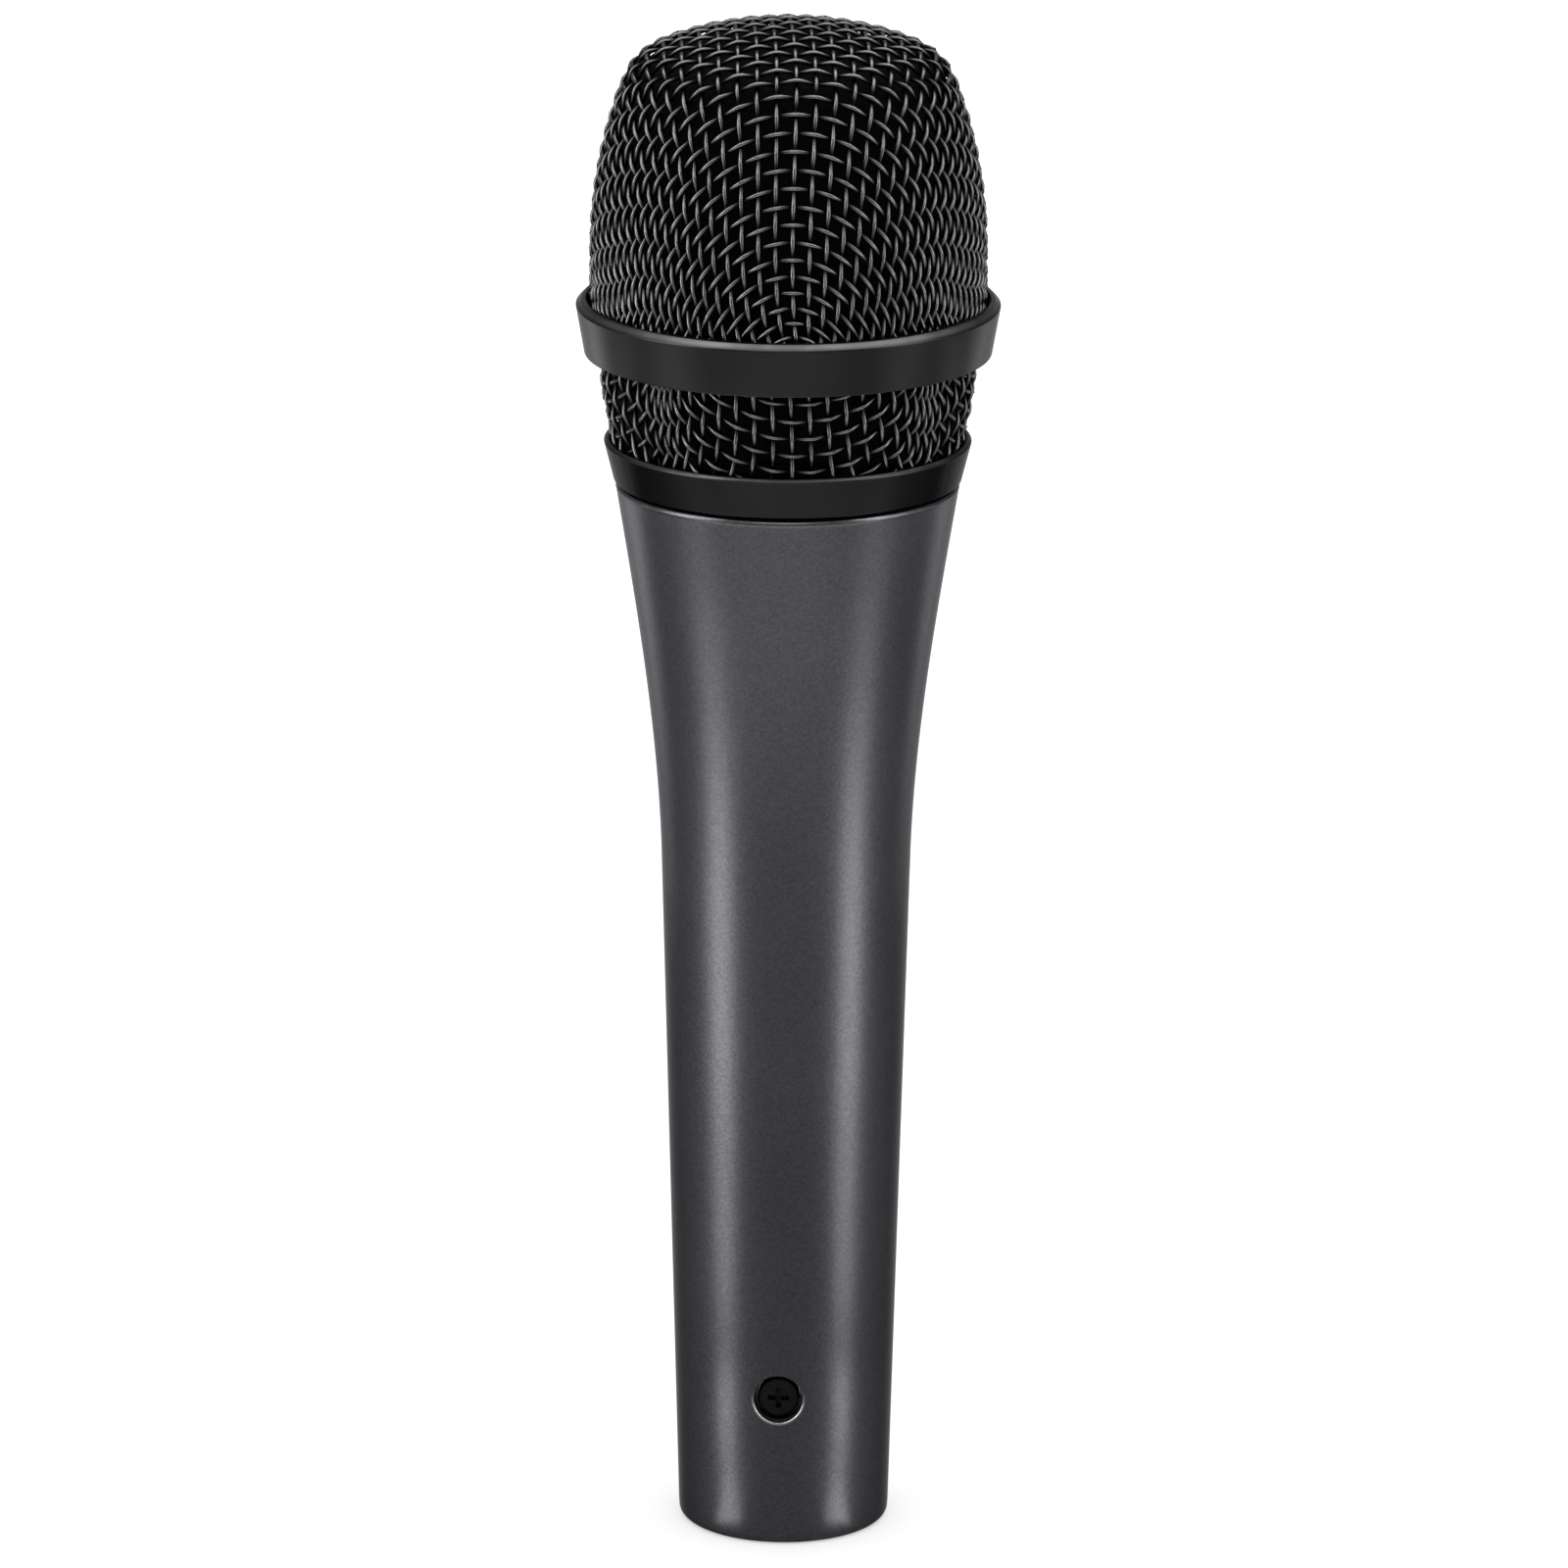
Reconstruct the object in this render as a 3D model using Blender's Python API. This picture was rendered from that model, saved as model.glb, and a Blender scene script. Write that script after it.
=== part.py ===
"""Hand-held dynamic microphone: woven two-part grille, screw-on head, flared handle, capsule and plug socket.

Metres, +Z up along the axis, origin at the centre of the base, screw hole towards -Y.
"""
import math

import bmesh
import bpy
from mathutils import Matrix, Vector

MM = 0.001

# Fits
CLEARANCE = 0.3 * MM
THIN_CLEARANCE = 0.12 * MM
SEAM_GAP = 0.35 * MM
WELD = 0.000001

# Facets of round pieces
OUTER_SIDES = 40
INNER_SIDES = 24
SMALL_SIDES = 16
FLARE_STEPS = 8

# Handle outside
HANDLE_LENGTH = 128.8 * MM
BASE_RADIUS = 12.6 * MM
BASE_ROUNDING = 1.1 * MM
WAIST_RADIUS = 14.83 * MM
FLARE_LENGTH = 46.0 * MM
FLARE_SLOPE = 0.165
SHOULDER_RADIUS = 20.3 * MM
SHOULDER_CHAMFER = 0.4 * MM

# Handle inside
HANDLE_WALL = 2.4 * MM
BORE_DEPTH = 22.8 * MM
STOP_WIDTH = 0.9 * MM
STOP_HEIGHT = 3.2 * MM

# Threaded neck
NECK_STEP = 2.7 * MM
NECK_HEIGHT = 7.0 * MM
NECK_WALL = 2.0 * MM
THREAD_PITCH = 1.5 * MM
THREAD_DEPTH = 0.75 * MM
THREAD_BASE_WIDTH = 0.8 * MM
THREAD_CREST_WIDTH = 0.35 * MM
THREAD_CLEARANCE = 0.4 * MM
THREAD_SINK = 0.3 * MM
NECK_TURNS = 2.75
COLLAR_TURNS = 2.0
THREAD_START = 2.2 * MM

# Gasket on the shoulder
GASKET_WIDTH = 1.3 * MM
GASKET_THICKNESS = 1.0 * MM

# Collar
COLLAR_HEIGHT = 4.9 * MM
COLLAR_STEP = 0.25 * MM
COLLAR_FLARE = 1.15 * MM
COLLAR_LIP = 0.8 * MM
COLLAR_CHAMFER = 0.35 * MM
COLLAR_GROOVE = 1.2 * MM
COLLAR_TUBE_RISE = 1.35 * MM

# Lower grille
GRILLE_THICKNESS = 1.2 * MM
LOWER_GRILLE_HEIGHT = 10.35 * MM
LOWER_GRILLE_BULGE = 1.55 * MM
LOWER_GRILLE_SLOPE = 0.3

# Ring round the grille
RING_HEIGHT = 6.4 * MM
RING_LIP = 1.45 * MM
RING_TAPER = 1.0 * MM
RING_CHAMFER_HEIGHT = 0.55 * MM
RING_CHAMFER_WIDTH = 0.6 * MM
RING_WEB_HEIGHT = 1.0 * MM
RING_WEB_WIDTH = 2.53 * MM
RING_POCKET_DEPTH = 2.7 * MM

# Upper grille
GRILLE_STEP = 1.1 * MM
SKIRT_HEIGHT = 5.83 * MM
SIDE_ARC_RADIUS = 56.66 * MM
SIDE_ARC_ANGLE = math.radians(21.57)
SHOULDER_ARC_RADIUS = 6.0 * MM
SHOULDER_ARC_END = math.radians(68.36)

# Foam behind the grilles
UPPER_FOAM_THICKNESS = 3.0 * MM
LOWER_FOAM_THICKNESS = 1.6 * MM

# Shock mount
MOUNT_DROP = 4.7 * MM
MOUNT_FLANGE_THICKNESS = 0.9 * MM
MOUNT_FLANGE_WIDTH = 1.5 * MM

# Capsule
CAPSULE_RADIUS = 14.3 * MM
CAPSULE_WALL = 1.2 * MM
CUP_HEIGHT = 12.6 * MM
CUP_FLOOR = 1.9 * MM
STEM_RADIUS = 10.9 * MM
STEM_LENGTH = 9.0 * MM
STEM_LIP_HEIGHT = 1.4 * MM
STEM_LIP_WIDTH = 3.2 * MM
YOKE_WALL = 1.1 * MM
YOKE_FLOOR = 2.2 * MM
YOKE_HEIGHT = 12.6 * MM
MAGNET_STEP = 0.7 * MM
POLE_HEIGHT = 2.5 * MM
COIL_GAP = 1.4 * MM
COIL_THICKNESS = 0.7 * MM
COIL_LENGTH = 5.2 * MM
COIL_PROUD = 2.4 * MM
DIAPHRAGM_THICKNESS = 0.3 * MM
DIAPHRAGM_DOME = 1.7 * MM
DIAPHRAGM_RISE = 0.9 * MM
RIM_WIDTH = 0.9 * MM
COVER_PLATE = 1.2 * MM
COVER_HOLE_RADIUS = 1.5 * MM
COVER_HOLE_CIRCLE = 7.0 * MM
COVER_HOLES = 6
SCREEN_THICKNESS = 0.6 * MM
BOARD_THICKNESS = 1.2 * MM
BOARD_RADIUS = 8.5 * MM
BOARD_HOLE_RADIUS = 2.5 * MM
TAB_WIDTH = 2.0 * MM
TAB_THICKNESS = 0.5 * MM
TAB_LENGTH = 2.6 * MM
TAB_OFFSET = 5.0 * MM

# Plug socket
SOCKET_RADIUS = 8.1 * MM
SLEEVE_WALL = 1.1 * MM
SLEEVE_RECESS = 0.5 * MM
SLEEVE_LENGTH = 26.0 * MM
LATCH_WIDTH = 4.0 * MM
LATCH_HEIGHT = 3.0 * MM
LATCH_DEPTH = 4.5 * MM
SOCKET_DEPTH = 13.7 * MM
INSULATOR_LENGTH = 10.5 * MM
PIN_RADIUS = 1.2 * MM
PIN_RECESS = 4.4 * MM
PIN_TAIL = 3.2 * MM
PIN_SPAN = 3.81 * MM
PIN_PAIR_OFFSET = 1.27 * MM
PIN_SINGLE_OFFSET = 2.54 * MM
SPRING_THICKNESS = 0.4 * MM
SPRING_WIDTH = 2.4 * MM
SPRING_LEAF = 2.6 * MM

# Locking screw in the handle
SCREW_HEIGHT = 18.5 * MM
SCREW_RADIUS = 1.45 * MM
SCREW_HEAD_RADIUS = 2.5 * MM
SCREW_HEAD_HEIGHT = 1.2 * MM
SCREW_LENGTH = 5.7 * MM
SCREW_CROSS_LENGTH = 2.9 * MM
SCREW_CROSS_WIDTH = 0.75 * MM
SCREW_CROSS_DEPTH = 0.8 * MM
COUNTERBORE_RADIUS = 2.9 * MM
COUNTERBORE_FLOOR = 0.75 * MM
WASHER_RADIUS = 2.6 * MM
WASHER_THICKNESS = 0.4 * MM

# Hook-up wires
WIRE_RADIUS = 0.55 * MM

# Heights and radii that follow from the sizes above
FACE_ANGLE = math.radians(30.0)
WAIST_HEIGHT = HANDLE_LENGTH - FLARE_LENGTH
BODY_SLOPE = (WAIST_RADIUS - BASE_RADIUS) / WAIST_HEIGHT
NECK_RADIUS = SHOULDER_RADIUS - NECK_STEP
NECK_TOP = HANDLE_LENGTH + NECK_HEIGHT
NECK_BORE = NECK_RADIUS - NECK_WALL
COLLAR_BASE = HANDLE_LENGTH + SEAM_GAP
COLLAR_TOP = COLLAR_BASE + COLLAR_HEIGHT
COLLAR_BASE_RADIUS = SHOULDER_RADIUS + COLLAR_STEP
COLLAR_TOP_RADIUS = COLLAR_BASE_RADIUS + COLLAR_FLARE
COLLAR_BORE = NECK_RADIUS + THREAD_DEPTH + THREAD_CLEARANCE
COLLAR_TUBE_TOP = COLLAR_TOP + COLLAR_TUBE_RISE
GASKET_BASE = HANDLE_LENGTH + THIN_CLEARANCE
GASKET_TOP = GASKET_BASE + GASKET_THICKNESS
GASKET_OUTER = NECK_RADIUS + CLEARANCE + GASKET_WIDTH
LOWER_GRILLE_FOOT = COLLAR_TOP_RADIUS - COLLAR_LIP
LOWER_GRILLE_HEAD = LOWER_GRILLE_FOOT + LOWER_GRILLE_BULGE
UPPER_GRILLE_RADIUS = LOWER_GRILLE_HEAD + GRILLE_STEP
RING_BASE = COLLAR_TOP + LOWER_GRILLE_HEIGHT
RING_TOP = RING_BASE + RING_HEIGHT
RING_RADIUS = UPPER_GRILLE_RADIUS + RING_LIP
WEB_BASE = RING_BASE + RING_POCKET_DEPTH
WEB_TOP = WEB_BASE + RING_WEB_HEIGHT
WEB_BORE = UPPER_GRILLE_RADIUS - RING_WEB_WIDTH
SKIRT_TOP = RING_TOP + SKIRT_HEIGHT
MOUNT_RADIUS = NECK_BORE - CLEARANCE
MOUNT_TOP = NECK_TOP + THIN_CLEARANCE + MOUNT_FLANGE_THICKNESS
CUP_BASE = MOUNT_TOP + CLEARANCE
CUP_TOP = CUP_BASE + CUP_HEIGHT
CUP_BORE = CAPSULE_RADIUS - CAPSULE_WALL
STEM_BASE = CUP_BASE - STEM_LENGTH
STEM_BORE = STEM_RADIUS - CAPSULE_WALL
YOKE_BASE = STEM_BASE + STEM_LIP_HEIGHT + THIN_CLEARANCE
YOKE_RADIUS = STEM_BORE - CLEARANCE
YOKE_BORE = YOKE_RADIUS - YOKE_WALL
POLE_RADIUS = YOKE_BORE - COIL_GAP
MAGNET_RADIUS = POLE_RADIUS - MAGNET_STEP
YOKE_TOP = YOKE_BASE + YOKE_HEIGHT
MAGNET_BASE = YOKE_BASE + YOKE_FLOOR + THIN_CLEARANCE
POLE_BASE = YOKE_TOP - POLE_HEIGHT
COIL_MIDDLE = (POLE_RADIUS + YOKE_BORE) / 2
COIL_TOP = YOKE_TOP + COIL_PROUD
DIAPHRAGM_LOW = COIL_TOP + THIN_CLEARANCE
DIAPHRAGM_HIGH = DIAPHRAGM_LOW + DIAPHRAGM_RISE
RIM_OUTER = CUP_BORE - CLEARANCE
RIM_INNER = RIM_OUTER - RIM_WIDTH
COVER_BASE = DIAPHRAGM_HIGH + DIAPHRAGM_THICKNESS + THIN_CLEARANCE
BOARD_TOP = STEM_BASE - THIN_CLEARANCE
TAB_TOP = BOARD_TOP - BOARD_THICKNESS - THIN_CLEARANCE
TAB_END = TAB_TOP - TAB_LENGTH
SLEEVE_RADIUS = SOCKET_RADIUS + SLEEVE_WALL
SLEEVE_TOP = SLEEVE_RECESS + SLEEVE_LENGTH
SEAT_RADIUS = SLEEVE_RADIUS + CLEARANCE
STOP_BASE = SLEEVE_TOP + CLEARANCE
STOP_TOP = STOP_BASE + STOP_HEIGHT
STOP_RADIUS = SEAT_RADIUS - STOP_WIDTH
INSULATOR_TOP = SOCKET_DEPTH + INSULATOR_LENGTH
PIN_TOP = INSULATOR_TOP + PIN_TAIL
SCREW_SEAT = SEAT_RADIUS + COUNTERBORE_FLOOR
WASHER_BASE = SCREW_SEAT + THIN_CLEARANCE
SCREW_HEAD_BASE = WASHER_BASE + WASHER_THICKNESS + THIN_CLEARANCE
PIN_PLACES = {
    "contact_pin_1": (-PIN_SPAN, PIN_PAIR_OFFSET),
    "contact_pin_2": (PIN_SPAN, PIN_PAIR_OFFSET),
    "contact_pin_3": (0.0, -PIN_SINGLE_OFFSET),
}


def finish(name, colour, metallic, roughness):
    """A plain surface for one piece."""
    surface = bpy.data.materials.new(name)
    surface.use_nodes = True
    shader = surface.node_tree.nodes["Principled BSDF"]
    shader.inputs["Base Color"].default_value = (*colour, 1.0)
    shader.inputs["Metallic"].default_value = metallic
    shader.inputs["Roughness"].default_value = roughness
    return surface


DARK_PAINT = ((0.045, 0.045, 0.05), 0.4, 0.42)
BLACK_METAL = ((0.02, 0.02, 0.02), 0.6, 0.35)
STEEL = ((0.55, 0.55, 0.55), 1.0, 0.3)
SILVER = ((0.75, 0.73, 0.68), 1.0, 0.25)
BRASS = ((0.7, 0.5, 0.2), 1.0, 0.3)
COPPER = ((0.72, 0.35, 0.2), 1.0, 0.35)
ALLOY = ((0.7, 0.7, 0.72), 1.0, 0.35)
MAGNET_GREY = ((0.3, 0.3, 0.32), 1.0, 0.4)
BLACK_PLASTIC = ((0.02, 0.02, 0.02), 0.0, 0.5)
CLEAR_FILM = ((0.75, 0.75, 0.7), 0.0, 0.2)
BOARD_BROWN = ((0.25, 0.13, 0.05), 0.0, 0.7)
BLACK_RUBBER = ((0.015, 0.015, 0.015), 0.0, 0.8)
DARK_FOAM = ((0.01, 0.01, 0.01), 0.0, 0.95)
GREY_CLOTH = ((0.1, 0.1, 0.1), 0.0, 0.9)
RED_SHEATH = ((0.5, 0.02, 0.02), 0.0, 0.45)
BLUE_SHEATH = ((0.02, 0.05, 0.4), 0.0, 0.45)


def smooth_round(body):
    """Smooth the round faces and keep the real edges crisp."""
    for face in body.faces:
        face.smooth = True
    for edge in body.edges:
        edge.smooth = edge.calc_face_angle(0.0) < FACE_ANGLE


def piece(name, body, look, place=(0.0, 0.0, 0.0)):
    """Turn a modelled body into a named piece with its own surface."""
    bmesh.ops.recalc_face_normals(body, faces=body.faces)
    smooth_round(body)
    mesh = bpy.data.meshes.new(name)
    body.to_mesh(mesh)
    body.free()
    thing = bpy.data.objects.new(name, mesh)
    thing.location = place
    bpy.context.collection.objects.link(thing)
    mesh.materials.append(finish(name, *look))
    return thing


def cutter(name, body, place=(0.0, 0.0, 0.0)):
    """A body that only shapes another piece and is not shown."""
    bmesh.ops.recalc_face_normals(body, faces=body.faces)
    mesh = bpy.data.meshes.new(name)
    body.to_mesh(mesh)
    body.free()
    thing = bpy.data.objects.new(name, mesh)
    thing.location = place
    thing.hide_render = True
    thing.display_type = "WIRE"
    bpy.context.collection.objects.link(thing)
    return thing


def shape_with(thing, tool, operation):
    """Cut a tool out of a piece, or join the tool to it."""
    step = thing.modifiers.new(tool.name, "BOOLEAN")
    step.operation = operation
    step.solver = "EXACT"
    step.object = tool


def turned(outline, sides):
    """Spin an outline of (radius, height) points round the axis into a closed body."""
    body = bmesh.new()
    corners = [body.verts.new((radius, 0.0, height)) for radius, height in outline]
    edges = [body.edges.new(pair) for pair in zip(corners, corners[1:])]
    if outline[0][0] > 0.0:
        edges.append(body.edges.new((corners[-1], corners[0])))
    bmesh.ops.spin(
        body,
        geom=corners + edges,
        axis=(0.0, 0.0, 1.0),
        cent=(0.0, 0.0, 0.0),
        dvec=(0.0, 0.0, 0.0),
        angle=2.0 * math.pi,
        steps=sides,
        use_merge=True,
        use_duplicate=False,
    )
    bmesh.ops.remove_doubles(body, verts=body.verts, dist=WELD)
    return body


def tube_outline(inner, outer, low, high):
    """The outline of a plain ring."""
    return [(inner, low), (outer, low), (outer, high), (inner, high)]


def rod(radius, low, high, sides):
    """A plain round bar along the axis."""
    return turned([(0.0, low), (radius, low), (radius, high), (0.0, high)], sides)


def block(size, centre):
    """A plain box."""
    body = bmesh.new()
    place = Matrix.Translation(Vector(centre)) @ Matrix.Diagonal((*size, 1.0))
    bmesh.ops.create_cube(body, size=1.0, matrix=place)
    return body


def arc(centre, radius, start, end, steps):
    """Points on a round stretch of an outline, with angles from the outward radius."""
    points = []
    for step in range(steps + 1):
        angle = start + (end - start) * step / steps
        points.append((centre[0] + radius * math.cos(angle), centre[1] + radius * math.sin(angle)))
    return points


def eased_radius(start, start_slope, end, end_slope, height):
    """The radius of a smooth curve between two outline points with a set slope at each."""
    length = end[1] - start[1]
    t = min(max((height - start[1]) / length, 0.0), 1.0)
    return (
        (1.0 + 2.0 * t) * (1.0 - t) ** 2 * start[0]
        + t * (1.0 - t) ** 2 * length * start_slope
        + t * t * (3.0 - 2.0 * t) * end[0]
        + t * t * (t - 1.0) * length * end_slope
    )


def thread_ridge(root, crest, start, turns):
    """A screw ridge that winds up round the axis, from its root radius to its crest radius."""
    body = bmesh.new()
    half_base = THREAD_BASE_WIDTH / 2
    half_crest = THREAD_CREST_WIDTH / 2
    sunk = root - math.copysign(THREAD_SINK, crest - root)
    section = [
        (sunk, start - half_base),
        (root, start - half_base),
        (crest, start - half_crest),
        (crest, start + half_crest),
        (root, start + half_base),
        (sunk, start + half_base),
    ]
    corners = [body.verts.new((radius, 0.0, height)) for radius, height in section]
    edges = [body.edges.new((a, b)) for a, b in zip(corners, corners[1:] + corners[:1])]
    steps = round(turns * OUTER_SIDES)
    bmesh.ops.spin(
        body,
        geom=corners + edges,
        axis=(0.0, 0.0, 1.0),
        cent=(0.0, 0.0, 0.0),
        dvec=(0.0, 0.0, THREAD_PITCH / OUTER_SIDES),
        angle=2.0 * math.pi * steps / OUTER_SIDES,
        steps=steps,
        use_merge=False,
        use_duplicate=False,
    )
    ends = [edge for edge in body.edges if edge.is_boundary]
    bmesh.ops.holes_fill(body, edges=ends, sides=len(section))
    return body


def crossways(body, distance):
    """Turn a body from the upright axis to the screw's axis, which leaves the handle towards -Y."""
    bmesh.ops.rotate(
        body,
        verts=body.verts,
        cent=(0.0, 0.0, 0.0),
        matrix=Matrix.Rotation(math.radians(90.0), 3, "X"),
    )
    bmesh.ops.translate(body, verts=body.verts, vec=(0.0, -distance, 0.0))
    return body


def body_radius(height):
    """The outside of the handle's straight taper."""
    return BASE_RADIUS + BODY_SLOPE * height


def dome_outline(inset, steps):
    """One side of the upper grille's dome, from the skirt to the crown, moved inward by an inset."""
    side_centre = (UPPER_GRILLE_RADIUS - SIDE_ARC_RADIUS, SKIRT_TOP)
    reach = SIDE_ARC_RADIUS - SHOULDER_ARC_RADIUS
    shoulder_centre = (
        side_centre[0] + reach * math.cos(SIDE_ARC_ANGLE),
        side_centre[1] + reach * math.sin(SIDE_ARC_ANGLE),
    )
    crown_radius = shoulder_centre[0] / math.cos(SHOULDER_ARC_END) + SHOULDER_ARC_RADIUS
    crown_height = shoulder_centre[1] - shoulder_centre[0] * math.tan(SHOULDER_ARC_END)
    points = arc(side_centre, SIDE_ARC_RADIUS - inset, 0.0, SIDE_ARC_ANGLE, steps)
    points += arc(shoulder_centre, SHOULDER_ARC_RADIUS - inset, SIDE_ARC_ANGLE, SHOULDER_ARC_END, steps)[1:]
    points += arc((0.0, crown_height), crown_radius - inset, SHOULDER_ARC_END, math.pi / 2, steps)[1:-1]
    return points + [(0.0, crown_height + crown_radius - inset)]


def bowl_outline(inset, low, high, steps):
    """One side of the lower grille between two heights, moved inward by an inset."""
    foot = (LOWER_GRILLE_FOOT, COLLAR_TOP)
    head = (LOWER_GRILLE_HEAD, RING_BASE)
    levels = [COLLAR_TOP + LOWER_GRILLE_HEIGHT * step / steps for step in range(steps + 1)]
    heights = [low] + [level for level in levels if low < level < high] + [high]
    points = []
    for height in heights:
        radius = eased_radius(foot, LOWER_GRILLE_SLOPE, head, 0.0, height)
        points.append((radius - inset, height))
    return points


def build_handle():
    waist = (WAIST_RADIUS, WAIST_HEIGHT)
    brim = (SHOULDER_RADIUS, HANDLE_LENGTH - SHOULDER_CHAMFER)
    flare = []
    for step in range(FLARE_STEPS + 1):
        height = waist[1] + (brim[1] - waist[1]) * step / FLARE_STEPS
        flare.append((eased_radius(waist, BODY_SLOPE, brim, FLARE_SLOPE, height), height))
    outside = [(SEAT_RADIUS, 0.0)]
    outside += arc((BASE_RADIUS - BASE_ROUNDING, BASE_ROUNDING), BASE_ROUNDING, -math.pi / 2, 0.0, 3)
    outside += flare
    outside += [
        (SHOULDER_RADIUS - SHOULDER_CHAMFER, HANDLE_LENGTH),
        (NECK_RADIUS, HANDLE_LENGTH),
        (NECK_RADIUS, NECK_TOP),
    ]
    inside = [
        (NECK_BORE, NECK_TOP),
        (NECK_BORE, NECK_TOP - BORE_DEPTH),
        (WAIST_RADIUS - HANDLE_WALL, WAIST_HEIGHT),
        (body_radius(STOP_TOP) - HANDLE_WALL, STOP_TOP + STOP_WIDTH),
        (STOP_RADIUS, STOP_TOP),
        (STOP_RADIUS, STOP_BASE),
        (SEAT_RADIUS, STOP_BASE),
    ]
    handle = piece("handle", turned(outside + inside, OUTER_SIDES), DARK_PAINT)
    ridge = thread_ridge(
        NECK_RADIUS, NECK_RADIUS + THREAD_DEPTH, HANDLE_LENGTH + THREAD_START, NECK_TURNS
    )
    shape_with(handle, cutter("neck_thread", ridge), "UNION")
    outward = body_radius(SCREW_HEIGHT) * 1.5
    counterbore = crossways(rod(COUNTERBORE_RADIUS, SCREW_SEAT, outward, INNER_SIDES), 0.0)
    shape_with(handle, cutter("screw_counterbore", counterbore, (0.0, 0.0, SCREW_HEIGHT)), "DIFFERENCE")
    passage = crossways(rod(SCREW_RADIUS + CLEARANCE, SOCKET_RADIUS / 2, outward, SMALL_SIDES), 0.0)
    tool = cutter("screw_passage", passage, (0.0, 0.0, SCREW_HEIGHT))
    shape_with(handle, tool, "DIFFERENCE")
    return tool


def build_head():
    groove_floor = COLLAR_TOP - COLLAR_GROOVE
    groove_outer = LOWER_GRILLE_FOOT + THIN_CLEARANCE
    groove_inner = LOWER_GRILLE_FOOT - GRILLE_THICKNESS - THIN_CLEARANCE
    recess_radius = GASKET_OUTER + CLEARANCE
    recess_top = GASKET_TOP + CLEARANCE
    collar_outline = [
        (recess_radius, COLLAR_BASE),
        (COLLAR_BASE_RADIUS, COLLAR_BASE),
        (COLLAR_TOP_RADIUS, COLLAR_TOP - COLLAR_CHAMFER),
        (COLLAR_TOP_RADIUS - COLLAR_CHAMFER, COLLAR_TOP),
        (groove_outer, COLLAR_TOP),
        (groove_outer, groove_floor),
        (groove_inner, groove_floor),
        (groove_inner, COLLAR_TUBE_TOP),
        (COLLAR_BORE, COLLAR_TUBE_TOP),
        (COLLAR_BORE, recess_top),
        (recess_radius, recess_top),
    ]
    collar = piece("grille_collar", turned(collar_outline, OUTER_SIDES), BLACK_METAL)
    ridge = thread_ridge(
        COLLAR_BORE,
        COLLAR_BORE - THREAD_DEPTH,
        HANDLE_LENGTH + THREAD_START + THREAD_PITCH / 2,
        COLLAR_TURNS,
    )
    shape_with(collar, cutter("collar_thread", ridge), "UNION")

    bowl_low = groove_floor + THIN_CLEARANCE
    bowl_high = WEB_BASE - THIN_CLEARANCE
    bowl = bowl_outline(0.0, bowl_low, bowl_high, 5)
    bowl += reversed(bowl_outline(GRILLE_THICKNESS, bowl_low, bowl_high, 5))
    piece("lower_grille", turned(bowl, OUTER_SIDES), BLACK_METAL)

    pocket_lower = LOWER_GRILLE_HEAD + THIN_CLEARANCE
    pocket_upper = UPPER_GRILLE_RADIUS + THIN_CLEARANCE
    ring_outline = [
        (pocket_lower, RING_BASE),
        (RING_RADIUS - RING_TAPER, RING_BASE),
        (RING_RADIUS, RING_TOP - RING_CHAMFER_HEIGHT),
        (RING_RADIUS - RING_CHAMFER_WIDTH, RING_TOP),
        (pocket_upper, RING_TOP),
        (pocket_upper, WEB_TOP),
        (WEB_BORE, WEB_TOP),
        (WEB_BORE, WEB_BASE),
        (pocket_lower, WEB_BASE),
    ]
    piece("grille_ring", turned(ring_outline, OUTER_SIDES), BLACK_METAL)

    skirt_base = WEB_TOP + THIN_CLEARANCE
    dome = [(0.0, dome_outline(GRILLE_THICKNESS, 3)[-1][1])]
    dome += reversed(dome_outline(GRILLE_THICKNESS, 3)[:-1])
    dome += [(UPPER_GRILLE_RADIUS - GRILLE_THICKNESS, skirt_base), (UPPER_GRILLE_RADIUS, skirt_base)]
    dome += dome_outline(0.0, 3)
    piece("upper_grille", turned(dome, OUTER_SIDES), BLACK_METAL)

    outer_inset = GRILLE_THICKNESS + CLEARANCE
    inner_inset = outer_inset + UPPER_FOAM_THICKNESS
    foam = [(0.0, dome_outline(inner_inset, 2)[-1][1])]
    foam += reversed(dome_outline(inner_inset, 2)[:-1])
    foam += [(UPPER_GRILLE_RADIUS - inner_inset, skirt_base), (UPPER_GRILLE_RADIUS - outer_inset, skirt_base)]
    foam += dome_outline(outer_inset, 2)
    piece("upper_foam", turned(foam, INNER_SIDES), DARK_FOAM)

    foam_low = COLLAR_TUBE_TOP + THIN_CLEARANCE
    band = bowl_outline(outer_inset, foam_low, bowl_high, 5)
    band += reversed(bowl_outline(outer_inset + LOWER_FOAM_THICKNESS, foam_low, bowl_high, 5))
    piece("lower_foam", turned(band, INNER_SIDES), DARK_FOAM)


def build_neck_seals():
    gasket = tube_outline(NECK_RADIUS + CLEARANCE, GASKET_OUTER, GASKET_BASE, GASKET_TOP)
    piece("neck_gasket", turned(gasket, OUTER_SIDES), BLACK_RUBBER)
    flange_base = NECK_TOP + THIN_CLEARANCE
    mount = [
        (STEM_RADIUS + CLEARANCE, NECK_TOP - MOUNT_DROP),
        (MOUNT_RADIUS, NECK_TOP - MOUNT_DROP),
        (MOUNT_RADIUS, flange_base),
        (MOUNT_RADIUS + MOUNT_FLANGE_WIDTH, flange_base),
        (MOUNT_RADIUS + MOUNT_FLANGE_WIDTH, MOUNT_TOP),
        (STEM_RADIUS + CLEARANCE, MOUNT_TOP),
    ]
    piece("shock_mount", turned(mount, INNER_SIDES), BLACK_RUBBER)


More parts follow.
